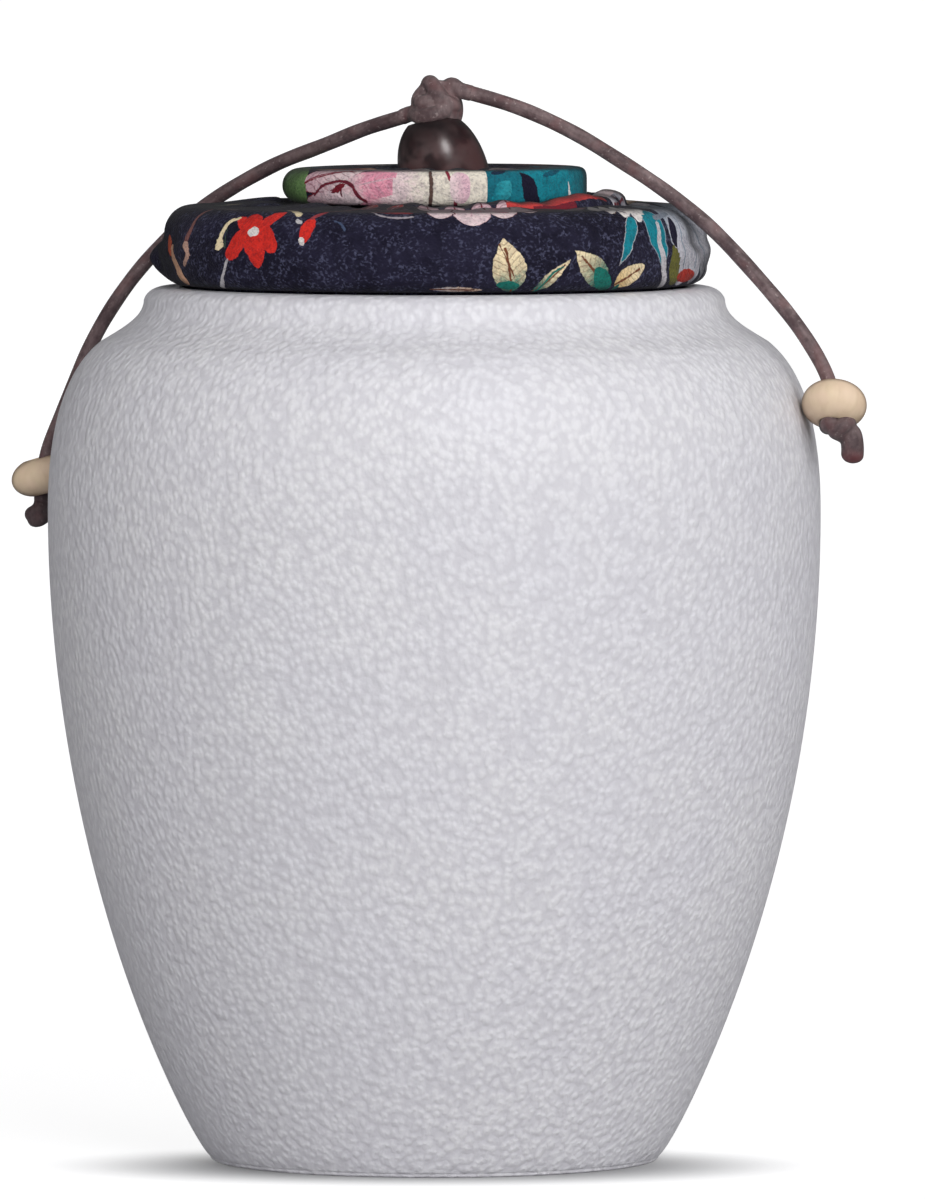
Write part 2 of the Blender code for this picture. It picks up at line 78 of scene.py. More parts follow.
# The lid's pad and button
PAD_RADIUS = 35.6
PAD_THICKNESS = 10.2
PAD_TOP_ROUND = 4.0
PAD_BOTTOM_ROUND = 2.2
PAD_BULGE = 0.5
PLUG_DEPTH = 7.0
PLUG_CLEARANCE = 0.8
PLUG_ROUND = 1.5
BUTTON_RADIUS = 19.6
BUTTON_THICKNESS = 4.6
HOLLOW_RADIUS = 15.0
HOLLOW_DEPTH = 1.8
DIMPLE_CLEARANCE = 0.5
DIMPLE_FLARE = 2.2
DIMPLE_FLOOR_THICKNESS = 1.2
PAD_BASE = RIM_HEIGHT + GAP
PAD_TOP = PAD_BASE + PAD_THICKNESS
BUTTON_BASE = PAD_TOP + GAP
BUTTON_TOP = BUTTON_BASE + BUTTON_THICKNESS
PLEATS = 11
RIGHT_CORD_TURN = math.radians(-12.4)
LEFT_CORD_TURN = math.radians(149)

# The knob bead, the cord and the end beads
KNOB_RADIUS = 5.8
KNOB_TOP_RADIUS = 3.6
KNOB_RISE = 7.5
KNOB_DROP = 2.8
KNOB_CREST = 0.7
KNOB_BORE = 2.4
KNOB_OFFSET = 1.5
KNOB_LEAN = math.radians(-16)
DIMPLE_RADIUS = KNOB_RADIUS + DIMPLE_CLEARANCE
DIMPLE_FLOOR = BUTTON_BASE - HOLLOW_DEPTH + DIMPLE_FLOOR_THICKNESS
KNOB_REACH = math.hypot(KNOB_DROP * math.cos(KNOB_LEAN), KNOB_RADIUS * math.sin(KNOB_LEAN))
KNOB_CENTRE = np.array((KNOB_OFFSET, 0, DIMPLE_FLOOR + GAP + KNOB_REACH))
CORD_DIAMETER = 2.1
BEAD_RADIUS = 4.2
BEAD_HEIGHT = 5.4
BEAD_BORE = CORD_DIAMETER / 2 + 0.45

# The cord's routes: X, Y and the height above the jar's rim
RIGHT_ROUTE = (
    (4.6, -1.0, 25.0), (7.2, -1.6, 24.3), (10.7, -2.3, 23.3), (13.3, -2.9, 22.2), (15.7, -3.4, 21.1),
    (19.6, -4.3, 19.1), (22.9, -5.0, 17.0), (26.0, -5.7, 15.1), (28.9, -6.4, 13.1), (31.7, -7.0, 11.1),
    (34.4, -7.6, 9.0), (36.6, -8.1, 6.9), (38.6, -8.5, 4.8), (40.5, -8.9, 2.7), (42.4, -9.2, 0.6),
    (44.2, -9.5, -1.5), (46.7, -9.8, -4.6), (48.7, -9.9, -7.7), (50.2, -10.0, -10.1), (51.2, -10.3, -12.4),
    (51.4, -11.5, -14.8), (51.6, -12.7, -17.2),
)
LEFT_ROUTE = (
    (-4.0, 1.7, 21.9), (-5.4, 2.6, 21.4), (-7.2, 3.8, 20.9), (-9.8, 5.4, 20.0), (-12.4, 7.0, 18.8),
    (-15.2, 8.7, 17.7), (-18.0, 10.5, 16.6), (-20.5, 12.1, 15.6), (-22.6, 13.4, 14.4),
    (-24.6, 14.5, 13.4), (-26.2, 15.5, 12.4), (-27.8, 16.4, 11.4), (-29.4, 17.2, 10.3),
    (-31.1, 17.9, 9.1), (-32.8, 18.4, 7.6), (-34.7, 18.6, 5.8), (-36.7, 18.7, 3.7),
    (-38.4, 18.7, 1.8), (-40.0, 18.7, -0.3), (-41.5, 18.7, -2.4), (-43.6, 18.7, -5.7),
    (-45.2, 18.7, -8.9), (-46.6, 18.6, -12.2), (-47.8, 18.6, -15.3), (-49.1, 18.5, -18.4),
    (-50.3, 18.5, -21.1), (-50.9, 18.5, -22.9), (-51.1, 18.5, -25.3), (-51.3, 18.5, -28.0),
)
# Each knot's strands, and the cores that fill the top knot, in cord diameters
RIGHT_STRAND = (
    (-0.4, 0.05, 0.4), (-0.62, 0.3, 0.95), (-0.66, 0.1, 1.6), (-0.2, 0.1, 2.2), (0.0, -0.2, 2.6),
    (0.4, -0.7, 2.1), (0.8, -0.85, 1.5), (1.4, -0.45, 1.2), (1.45, 0.5, 1.3), (0.7, 1.05, 1.25),
    (-0.15, 0.9, 1.4), (-0.6, 0.1, 1.5), (-0.35, -0.6, 1.35), (0.2, -0.5, 1.6), (0.8, 0.05, 2.0),
    (1.3, 0.0, 2.45),
)
LEFT_STRAND = (
    (0.75, 0.05, 0.35), (1.35, 0.1, 0.3), (1.55, 0.05, 0.8), (1.45, 0.3, 1.45), (0.9, 0.5, 1.9),
    (0.35, -0.1, 1.6), (0.85, -0.85, 1.0), (0.5, -1.1, 0.75), (-0.1, -1.1, 0.6), (-0.6, -0.7, 0.55),
)
RIGHT_END_STRAND = (
    (-0.1, -0.35, 0.02), (-0.5, -0.62, -0.02), (-0.45, 0.3, -0.2), (0.25, 0.5, -0.1), (0.75, -0.1, 0.0),
    (0.45, -0.68, -0.05), (-0.05, -0.6, -0.4), (0.4, -0.15, -0.55), (0.85, 0.0, -0.65), (1.0, 0.0, -1.2),
    (1.02, 0.0, -1.8), (0.97, 0.0, -2.45),
)
LEFT_END_STRAND = (
    (0.0, 0.0, -0.5), (-0.22, -0.32, -0.9), (-0.58, 0.0, -1.15), (-0.27, 0.34, -1.05), (0.1, 0.05, -1.2),
    (-0.14, -0.3, -1.4), (-0.42, 0.05, -1.45), (-0.22, 0.2, -1.25),
)
TOP_CORES = (
    ((0.0, -0.1, 0.75), (0.35, -0.05, 1.3), (0.6, 0.0, 2.0), (0.66, 0.0, 2.75)),
    ((1.0, -0.25, 0.3), (1.05, -0.3, 0.8), (1.05, -0.1, 1.4), (1.0, 0.0, 2.1)),
)
CORE_THICKNESS = 1.4
# The tail's thickness, the shares of its strand over which it swells and ends round, and how far its cut shows
TAIL_SWELL = 1.4
TAIL_SWELLS = (0.6, 0.78)
TAIL_CLOSES = 0.93
CUT_FADE = (0.6, 2.8)
# A free cord looks a little thinner than the solid one, and presses into the pad's edge
FREE_CORD_SHARE = 0.9
CORD_PRESS = 0.91
BEAD_TILTS = {"right": math.radians(10), "left": math.radians(-20)}
BEAD_FLATNESS = {"right": 1.0, "left": 0.86}

# How finely the surfaces are divided
JAR_COLUMNS = 288
PAD_COLUMNS = 512
BUTTON_COLUMNS = 320
BEAD_COLUMNS = 96
CORD_SIDES = 28
CORD_STEP = 0.35
CORD_EVENINGS = 90
KNOT_SIDES = 20
KNOT_SKIN = 0.13
KNOT_RELAXINGS = 9
STROKE_STEP = 0.35
# The pad's rows, from its hollow over the top, round the edge and down the side
HOLLOW_ROWS = 10
TOP_ROWS = 62
EDGE_ROWS = 30
SIDE_ROWS = 8
LOW_ROWS = 14
HEEL_ROWS = 12
# How far to the left of the front the print's own count round the cloth starts
SEAM_PLACE = 50.0


# ---- small helpers ----


def smooth_step(low, high, value):
    t = np.clip((value - low) / (high - low), 0.0, 1.0)
    return t * t * (3 - 2 * t)


def turn_apart(a, b):
    """How far two directions round the axis are apart, without a sign."""
    return np.abs((a - b + math.pi) % math.tau - math.pi)


def bump(distance, width):
    """A rounded hill, 1 at no distance and falling off over the width."""
    return np.exp(-((distance / width) ** 2))


def bezier(start, start_handle, end_handle, end, count):
    """Points on a cubic Bezier curve, (1-t)^3 a + 3(1-t)^2 t b + 3(1-t) t^2 c + t^3 d, without the first."""
    t = np.linspace(0, 1, count + 1)[1:, None]
    a, b, c, d = (np.asarray(p, float) for p in (start, start_handle, end_handle, end))
    return (1 - t) ** 3 * a + 3 * (1 - t) ** 2 * t * b + 3 * (1 - t) * t**2 * c + t**3 * d


def rounding(start, corner, end, count):
    """A rounded corner: a Bezier whose handles reach 0.552 of the way to the corner, nearly a quarter circle."""
    start, corner, end = (np.asarray(p, float) for p in (start, corner, end))
    return bezier(start, start + (corner - start) * 0.552, end + (corner - end) * 0.552, end, count)


def line(start, end, count):
    """Evenly spaced points on a straight line, without the first."""
    t = np.linspace(0, 1, count + 1)[1:, None]
    return np.asarray(start, float) * (1 - t) + np.asarray(end, float) * t


def smooth_path(points, spacing):
    """Evenly spaced points on the Catmull-Rom curve through the points: on each span the four nearest points
    are weighted by cubics in t."""
    points = np.asarray(points, float)
    ends = np.vstack([2 * points[0] - points[1], points, 2 * points[-1] - points[-2]])
    before, start, end, after = (ends[i : len(ends) - 3 + i, None, :] for i in range(4))
    t = np.linspace(0, 1, 24, endpoint=False)[None, :, None]
    fine = 0.5 * (
        2 * start
        + (end - before) * t
        + (2 * before - 5 * start + 4 * end - after) * t**2
        + (3 * start - before - 3 * end + after) * t**3
    )
    fine = np.vstack([fine.reshape(-1, 3), points[-1]])
    reach = np.concatenate([[0], np.cumsum(np.linalg.norm(np.diff(fine, axis=0), axis=1))])
    wanted = np.linspace(0, reach[-1], max(2, round(reach[-1] / spacing)) + 1)
    return np.stack([np.interp(wanted, reach, fine[:, k]) for k in range(3)], axis=1)


def new_object(name, points, faces, finish, smooth=True):
    """A mesh object at the origin. The points are in millimetres."""
    mesh = bpy.data.meshes.new(name)
    mesh.from_pydata((np.asarray(points) * MM).tolist(), [], faces)
    mesh.materials.append(finish)
    if smooth:
        mesh.shade_smooth()
    made = bpy.data.objects.new(name, mesh)
    bpy.context.scene.collection.objects.link(made)
    return made


def grid_faces(rows, columns):
    """Faces over a grid that closes round its columns, as rows and columns of their corners. The profile runs
    down the outside, so the order points them outwards. The column may be one past the last."""
    i, j = np.meshgrid(np.arange(rows - 1), np.arange(columns), indexing="ij")
    row = np.stack([i, i + 1, i + 1, i], axis=-1).reshape(-1, 4)
    column = np.stack([j, j, j + 1, j + 1], axis=-1).reshape(-1, 4)
    return row, column


def round_surface(name, grid, finish, start_pole=None, end_pole=None):
    """A surface over a grid of points that closes round its columns, with a fan to a pole at either end."""
    rows, columns = grid.shape[:2]
    row, column = grid_faces(rows, columns)
    faces = (row * columns + column % columns).tolist()
    points = grid.reshape(-1, 3)
    around = np.arange(columns)
    if start_pole is not None:
        top = len(points)
        points = np.vstack([points, start_pole])
        faces += np.stack([np.full(columns, top), around, (around + 1) % columns], axis=1).tolist()
    if end_pole is not None:
        low = len(points)
        last = (rows - 1) * columns
        points = np.vstack([points, end_pole])
        faces += np.stack([np.full(columns, low), last + (around + 1) % columns, last + around], axis=1).tolist()
    return new_object(name, points, faces, finish)


def turned(profile, columns):
    """A profile of (radius, height) turned about Z: (r cos a, r sin a, z) for evenly spaced angles a."""
    turns = np.linspace(0, math.tau, columns, endpoint=False)
    radius, height = profile[:, :1], profile[:, 1:]
    return np.stack([radius * np.cos(turns), radius * np.sin(turns), height + 0 * turns], axis=-1)


def set_colour(mesh, name, values, domain="CORNER"):
    """A colour attribute, linear and with four channels."""
    layer = mesh.attributes.new(name, "FLOAT_COLOR", domain)
    layer.data.foreach_set("color", np.ascontiguousarray(values, np.float32).reshape(-1))


def set_vector(mesh, name, values, domain="CORNER"):
    layer = mesh.attributes.new(name, "FLOAT_VECTOR", domain)
    layer.data.foreach_set("vector", np.ascontiguousarray(values, np.float32).reshape(-1))


def linear(red, green, blue, alpha=1.0):
    """A colour given as it looks on a screen, 0 to 255, as the linear one that shading uses."""
    channels = np.array((red, green, blue)) / 255
    curved = np.where(channels <= 0.04045, channels / 12.92, ((channels + 0.055) / 1.055) ** 2.4)
    return (*curved.tolist(), alpha)


# ---- shader parts ----


class Shader:
    """Short ways to place and join nodes in one node tree."""

    def __init__(self, tree):
        self.tree = tree

    def node(self, kind, inputs=None, **settings):
        made = self.tree.nodes.new(kind)
        for key, value in settings.items():
            setattr(made, key, value)
        for key, value in (inputs or {}).items():
            self.feed(made.inputs[key], value)
        return made

    def feed(self, socket, value):
        if isinstance(value, bpy.types.NodeSocket):
            self.tree.links.new(value, socket)
        else:
            socket.default_value = value

    def math(self, operation, a, b=0.0, c=0.0):
        return self.node("ShaderNodeMath", {0: a, 1: b, 2: c}, operation=operation).outputs[0]

    def clamp01(self, low, high, value):
        """0 below low, 1 above high and an S curve between them."""
        made = self.node("ShaderNodeMapRange", {"Value": value, "From Min": low, "From Max": high})
        made.interpolation_type = "SMOOTHSTEP"
        return made.outputs["Result"]

    def mix(self, share, a, b, blend="MIX"):
        made = self.node("ShaderNodeMix")
        made.data_type = "RGBA"
        made.blend_type = blend
        self.feed(made.inputs[0], share)
        self.feed(made.inputs[6], a)
        self.feed(made.inputs[7], b)
        return made.outputs[2]

    def tint(self, colour, other, mask, strength):
        """Some of the other colour over this one where the mask is."""
        return self.mix(self.math("MULTIPLY", mask, strength), colour, other)

    def bumped(self, height, strength, distance):
        inputs = {"Height": height, "Strength": strength, "Distance": distance}
        return self.node("ShaderNodeBump", inputs).outputs[0]

    def attribute(self, name):
        return self.node("ShaderNodeAttribute", attribute_name=name)

    def split(self, vector):
        made = self.node("ShaderNodeSeparateXYZ", {0: vector})
        return made.outputs[0], made.outputs[1], made.outputs[2]

    def scaled(self, vector, scale, turn=(0.0, 0.0, 0.0)):
        return self.node("ShaderNodeMapping", {"Vector": vector, "Scale": scale, "Rotation": turn}).outputs[0]

    def noise(self, vector, scale, detail=2.0, roughness=0.5, distortion=0.0):
        inputs = {"Vector": vector, "Scale": scale, "Detail": detail, "Roughness": roughness}
        inputs["Distortion"] = distortion
        return self.node("ShaderNodeTexNoise", inputs).outputs["Fac"]

    def cells(self, vector, scale, feature="F1", smoothness=None):
        made = self.node("ShaderNodeTexVoronoi", feature=feature)
        self.feed(made.inputs["Vector"], vector)
        self.feed(made.inputs["Scale"], scale)
        if smoothness is not None:
            self.feed(made.inputs["Smoothness"], smoothness)
        return made

    def group(self, tree, inputs):
        made = self.node("ShaderNodeGroup")
        made.node_tree = tree
        for key, value in inputs.items():
            self.feed(made.inputs[key], value)
        return made.outputs


def new_group(name, inputs, outputs):
    """An empty node group with named sockets, its inputs and its outputs' node."""
    tree = bpy.data.node_groups.new(name, "ShaderNodeTree")
    kinds = {"value": "NodeSocketFloat", "colour": "NodeSocketColor", "vector": "NodeSocketVector"}
    for title, kind in inputs:
        tree.interface.new_socket(title, in_out="INPUT", socket_type=kinds[kind])
    for title, kind in outputs:
        tree.interface.new_socket(title, in_out="OUTPUT", socket_type=kinds[kind])
    shader = Shader(tree)
    entry = tree.nodes.new("NodeGroupInput")
    leave = tree.nodes.new("NodeGroupOutput")
    return shader, entry.outputs, leave.inputs


def new_material(name, roughness=0.5, **settings):
    """A Principled material. Values that are the same all over are set on its own sockets."""
    made = bpy.data.materials.new(name)
    made.use_nodes = True
    principled = made.node_tree.nodes["Principled BSDF"]
    principled.inputs["Roughness"].default_value = roughness
    for key, value in settings.items():
        principled.inputs[key.replace("_", " ")].default_value = value
    return made, Shader(made.node_tree), principled.inputs


def mottle_group():
    """Soft uneven darkening: broad and fine noise together, as a share between two limits."""
    shader, given, out = new_group(
        "mottle", [("Place", "vector"), ("Broad", "value"), ("Fine", "value")], [("Share", "value")]
    )
    broad = shader.noise(given["Place"], given["Broad"], 3.0, 0.55)
    fine = shader.noise(given["Place"], given["Fine"], 2.0, 0.6)
    both = shader.math("MULTIPLY_ADD", broad, 0.65, shader.math("MULTIPLY", fine, 0.35))
    shader.feed(out["Share"], shader.clamp01(0.36, 0.64, both))
    return shader.tree


def pebble_group():
    """The glaze's small raised pebbles: smooth cells a little taller than wide, with finer grain on them."""
    shader, given, out = new_group("pebbles", [("Place", "vector"), ("Scale", "value")], [("Height", "value")])
    tall = shader.scaled(given["Place"], (1.0, 1.0, 0.84))
    cells = shader.cells(tall, given["Scale"], "SMOOTH_F1", 0.6).outputs["Distance"]
    raised = shader.math("SUBTRACT", 1.0, cells)
    lumps = shader.noise(tall, shader.math("MULTIPLY", given["Scale"], 0.62), 2.0, 0.55)
    grain = shader.noise(tall, shader.math("MULTIPLY", given["Scale"], 2.3), 2.0, 0.6)
    height = shader.math("MULTIPLY_ADD", lumps, 0.6, shader.math("MULTIPLY", raised, 0.75))
    shader.feed(out["Height"], shader.math("MULTIPLY_ADD", grain, 0.2, height))
    return shader.tree


def petal_group():
    """One printed petal or leaf. Along it t runs from 0 to 1, and its half width is
    half * sin(pi t^widest)^bluntness. Threads and ink make its edge ragged and its colour uneven, and where
    it has a rib, side veins run out from it. Returns the colour over what lies below it."""
    shader, given, out = new_group(
        "printed petal",
        [
            ("Place", "vector"),
            ("Form", "vector"),
            ("Fill", "colour"),
            ("Foot", "colour"),
            ("Rim", "colour"),
            ("Rim width", "value"),
            ("Foot reach", "value"),
            ("Ragged", "value"),
            ("Ink", "value"),
            ("Below", "colour"),
        ],
        [("Colour", "colour")],
    )
    t, across, half = shader.split(given["Place"])
    widest, bluntness, rib = shader.split(given["Form"])
    eased = shader.math("MINIMUM", shader.math("POWER", shader.math("MAXIMUM", t, 0.0), widest), 1.0)
    swell = shader.math("MAXIMUM", shader.math("SINE", shader.math("MULTIPLY", eased, math.pi)), 0.0)
    width = shader.math("MULTIPLY", shader.math("POWER", swell, bluntness), half)
    off = shader.math("ABSOLUTE", across)
    depth = shader.math("SUBTRACT", width, off)
    depth = shader.math("MULTIPLY_ADD", given["Ragged"], 0.55, depth)
    inside = shader.clamp01(0.0, 0.12, depth)
    inside = shader.math("MULTIPLY", inside, shader.math("GREATER_THAN", width, 0.02))
    rim_inner = shader.math("SUBTRACT", depth, given["Rim width"])
    in_rim = shader.math("SUBTRACT", 1.0, shader.clamp01(-0.05, 0.08, rim_inner))
    has_rim = shader.math("GREATER_THAN", given["Rim width"], 0.01)
    in_rim = shader.math("MULTIPLY", in_rim, has_rim)
    has_rib = shader.math("GREATER_THAN", rib, 0.01)
    waver = shader.math("MULTIPLY_ADD", given["Ragged"], 0.4, off)
    near_rib = shader.math("SUBTRACT", 1.0, shader.clamp01(-0.04, 0.09, shader.math("SUBTRACT", waver, rib)))
    near_rib = shader.math("MULTIPLY", near_rib, shader.math("LESS_THAN", t, 0.84))
    slant = shader.math("MULTIPLY_ADD", t, 52.0, shader.math("MULTIPLY", off, -4.6))
    vein = shader.clamp01(0.72, 1.0, shader.math("SINE", shader.math("MULTIPLY_ADD", given["Ragged"], 4.0, slant)))
    lines = shader.math("MAXIMUM", near_rib, shader.math("MULTIPLY", vein, 0.45))
    lines = shader.math("MAXIMUM", in_rim, shader.math("MULTIPLY", lines, has_rib))
    reach = shader.math("MULTIPLY", given["Foot reach"], 1.3)
    rising = shader.math("MULTIPLY_ADD", given["Ragged"], 0.5, t)
    at_foot = shader.math("SUBTRACT", 1.0, shader.clamp01(0.1, 1.0, shader.math("DIVIDE", rising, reach)))
    colour = shader.mix(at_foot, given["Fill"], given["Foot"])
    colour = shader.mix(given["Ink"], colour, shader.mix(1.0, colour, (0.62, 0.6, 0.64, 1.0), "MULTIPLY"))
    colour = shader.mix(lines, colour, given["Rim"])
    shader.feed(out["Colour"], shader.mix(inside, given["Below"], colour))
    return shader.tree


def stroke_group():
    """One printed stroke: its colour where the distance across is less than its half width, with the same
    ragged edge as a petal's."""
    shader, given, out = new_group(
        "printed stroke",
        [("Place", "vector"), ("Fill", "colour"), ("Ragged", "value"), ("Below", "colour")],
        [("Colour", "colour")],
    )
    across, half, _ = shader.split(given["Place"])
    depth = shader.math("SUBTRACT", half, shader.math("ABSOLUTE", across))
    depth = shader.math("MULTIPLY_ADD", given["Ragged"], 0.4, depth)
    shader.feed(out["Colour"], shader.mix(shader.clamp01(-0.02, 0.12, depth), given["Below"], given["Fill"]))
    return shader.tree


def crepe_group():
    """Crepe cloth. Twisted threads in a slightly wavering weave give a height, painted highlights on the nubs where
    light catches, and painted shade in the gaps between threads. Ragged is a soft noise about 0 that frays printed
    edges, and Ink is the patchiness of the print."""
    shader, given, out = new_group(
        "crepe",
        [("Place", "vector"), ("Threads", "value")],
        [("Height", "value"), ("Nub highlights", "value"), ("Gap shade", "value"), ("Ragged", "value"), ("Ink", "value")],
    )
    waver = shader.node("ShaderNodeTexNoise", {"Vector": given["Place"], "Scale": 520.0, "Detail": 1.0})
    small = shader.node("ShaderNodeVectorMath", {0: waver.outputs["Color"]}, operation="SCALE")
    small.inputs["Scale"].default_value = 0.0007
    bent = shader.node("ShaderNodeVectorMath", {0: given["Place"], 1: small.outputs[0]}, operation="ADD").outputs[0]
    flat = shader.scaled(bent, (1.0, 1.0, 1.15))
    cells = shader.cells(flat, given["Threads"], "SMOOTH_F1", 0.7).outputs["Distance"]
    nub = shader.math("SUBTRACT", 1.0, cells)
    crimp = shader.noise(bent, shader.math("MULTIPLY", given["Threads"], 0.6), 2.0, 0.6)
    height = shader.math("MULTIPLY_ADD", crimp, 0.7, shader.math("MULTIPLY", nub, 0.8))
    shader.feed(out["Height"], height)
    patches = shader.noise(bent, 700.0, 2.0, 0.6)
    picked = shader.noise(flat, shader.math("MULTIPLY", given["Threads"], 0.9), 1.0, 0.5)
    # Painted highlights on the nubs, where light catches the thread tops.
    nub_highlights = shader.math("MULTIPLY", shader.clamp01(0.46, 0.7, picked), shader.clamp01(0.36, 0.62, patches))
    shader.feed(out["Nub highlights"], nub_highlights)
    # Painted shade in the gaps between threads.
    gap_shade = shader.noise(flat, shader.math("MULTIPLY", given["Threads"], 1.05), 1.0, 0.5)
    shader.feed(out["Gap shade"], shader.clamp01(0.5, 0.66, gap_shade))
    fray = shader.math("SUBTRACT", shader.noise(bent, 1250.0, 2.0, 0.65), 0.5)
    shader.feed(out["Ragged"], fray)
    shader.feed(out["Ink"], shader.clamp01(0.42, 0.66, shader.noise(bent, 900.0, 3.0, 0.6)))
    return shader.tree


def fibre_group():
    """Fine fibres or grain: noise drawn out along one direction of the given place."""
    shader, given, out = new_group(
        "fibres", [("Place", "vector"), ("Scale", "value")], [("Streaks", "value"), ("Height", "value")]
    )
    drawn = shader.scaled(given["Place"], (1.0, 1.0, 0.12))
    streaks = shader.noise(drawn, given["Scale"], 3.0, 0.6, 0.3)
    fine = shader.noise(drawn, shader.math("MULTIPLY", given["Scale"], 3.1), 2.0, 0.6)
    shader.feed(out["Streaks"], shader.clamp01(0.34, 0.68, streaks))
    shader.feed(out["Height"], shader.math("MULTIPLY_ADD", fine, 0.4, shader.math("MULTIPLY", streaks, 0.6)))
    return shader.tree


MOTTLE = mottle_group()
PEBBLES = pebble_group()
PETAL = petal_group()
STROKE = stroke_group()
CREPE = crepe_group()
FIBRES = fibre_group()


# ---- materials ----


def painted_edge_shade(shader):
    """Painted shade where a surface turns away, standing in for the dark sides of the studio that it faces there."""
    facing = shader.node("ShaderNodeLayerWeight", {"Blend": 0.5}).outputs["Facing"]
    return shader.clamp01(0.5, 0.95, facing)


def glaze_material():
    """White stoneware glaze: pebbled, satin, cool white with faint clouds, and painted shade in the hollows between
    the pebbles.
    """
    made, shader, principled = new_material("white_pebbled_glaze", 0.46, IOR=1.5)
    place = shader.node("ShaderNodeTexCoord").outputs["Object"]
    pebbles = shader.group(PEBBLES, {"Place": place, "Scale": 1080.0})["Height"]
    clouds = shader.group(MOTTLE, {"Place": place, "Broad": 22.0, "Fine": 90.0})["Share"]
    base = shader.mix(clouds, linear(221, 220, 226), linear(224, 223, 227))
    # Painted shade: the hollows between the pebbles are darkened.
    hollow = shader.clamp01(0.98, 0.62, pebbles)
    colour = shader.tint(base, linear(200, 198, 205), hollow, 0.6)
    shader.feed(principled["Base Color"], colour)
    shader.feed(principled["Roughness"], shader.math("MULTIPLY_ADD", clouds, 0.05, 0.42))
    shader.feed(principled["Normal"], shader.bumped(pebbles, 0.6, 0.0004))
    return made


def printed_cloth():
    """Indigo crepe with a printed pattern of petals, leaves and strokes that the mesh's attributes place. Painted
    highlights lighten the ground's nubs, and painted shade darkens the gaps between the threads, print and all, and
    the edges that turn away."""
    made, shader, principled = new_material(
        "printed_crepe", 0.88, Sheen_Weight=0.04, Sheen_Roughness=0.5, Specular_IOR_Level=0.16
    )
    place = shader.node("ShaderNodeTexCoord").outputs["Object"]
    crepe = shader.group(CREPE, {"Place": place, "Threads": 2800.0})
    mottle = shader.group(MOTTLE, {"Place": place, "Broad": 160.0, "Fine": 900.0})["Share"]
    ground = shader.mix(mottle, linear(20, 18, 34), linear(33, 31, 50))
    # Painted highlights: the ground's nubs are lightened where light catches the thread tops.
    ground = shader.tint(ground, linear(88, 90, 116), crepe["Nub highlights"], 0.62)
    fray = {"Ragged": crepe["Ragged"]}
    colour = ground
    for layer in ("low", "stroke", "high"):
        fill = shader.attribute(layer + "_fill")
        where = {"Place": shader.attribute(layer + "_place").outputs["Vector"], "Fill": fill.outputs["Color"]}
        if layer == "stroke":
            colour = shader.group(STROKE, {**where, **fray, "Below": colour})["Colour"]
            continue
        foot = shader.attribute(layer + "_foot")
        inputs = {
            "Form": shader.attribute(layer + "_form").outputs["Vector"],
            "Foot": foot.outputs["Color"],
            "Rim": shader.attribute(layer + "_rim").outputs["Color"],
            "Rim width": fill.outputs["Alpha"],
            "Foot reach": foot.outputs["Alpha"],
            "Ink": shader.math("MULTIPLY", crepe["Ink"], 0.6),
            "Below": colour,
        }
        colour = shader.group(PETAL, {**where, **fray, **inputs})["Colour"]
    # Painted shade in the gaps between threads, over the print too.
    colour = shader.tint(colour, linear(30, 27, 44), crepe["Gap shade"], 0.28)
    # Painted shade where the cloth turns away.
    colour = shader.tint(colour, linear(12, 11, 18), painted_edge_shade(shader), 0.8)
    shader.feed(principled["Base Color"], colour)
    shader.feed(principled["Normal"], shader.bumped(crepe["Height"], 0.7, 0.0002))
    return made


def dark_wood_material():
    """Dark lacquered wood, mottled grey-brown with a reddish glow, and nearly black round its crown. Painted shade
    darkens its edges that turn away.
    """
    made, shader, principled = new_material(
        "dark_lacquered_wood", 0.34, Coat_Weight=0.5, Coat_Roughness=0.2, IOR=1.5
    )
    own = shader.attribute("own_place").outputs["Vector"]
    grain = shader.group(FIBRES, {"Place": own, "Scale": 260.0})
    clouds = shader.group(MOTTLE, {"Place": own, "Broad": 150.0, "Fine": 520.0})["Share"]
    patches = shader.clamp01(0.42, 0.6, shader.noise(own, 330.0, 2.0, 0.5))
    dark = shader.mix(patches, linear(36, 26, 28), linear(82, 65, 65))
    dark = shader.tint(dark, linear(58, 40, 40), grain["Streaks"], 0.3)
    warm = shader.tint(dark, linear(70, 30, 32), clouds, 0.5)
    up = shader.split(own)[2]
    crown = shader.clamp01(0.0035, 0.0075, up)
    warm = shader.tint(warm, linear(22, 17, 19), crown, 0.75)
    # Painted shade where the knob's surface turns away.
    shader.feed(principled["Base Color"], shader.tint(warm, linear(10, 8, 9), painted_edge_shade(shader), 0.85))
    shader.feed(principled["Normal"], shader.bumped(grain["Height"], 0.2, 0.00008))
    return made


def pale_wood_material():
    """Smooth pale wood with a faint grain along the bore and a thin wax finish, and painted shade at the edges that
    turn away.
    """
    made, shader, principled = new_material("pale_wood", 0.48, IOR=1.45)
    own = shader.attribute("own_place").outputs["Vector"]
    grain = shader.group(FIBRES, {"Place": own, "Scale": 420.0})
    clouds = shader.group(MOTTLE, {"Place": own, "Broad": 170.0, "Fine": 600.0})["Share"]
    colour = shader.mix(grain["Streaks"], linear(226, 204, 174), linear(212, 187, 155))
    colour = shader.tint(colour, linear(232, 204, 182), clouds, 0.5)
    # Painted shade where the bead's surface turns away.
    shader.feed(principled["Base Color"], shader.tint(colour, linear(104, 74, 52), painted_edge_shade(shader), 0.75))
    shader.feed(principled["Normal"], shader.bumped(grain["Height"], 0.15, 0.00006))
    return made


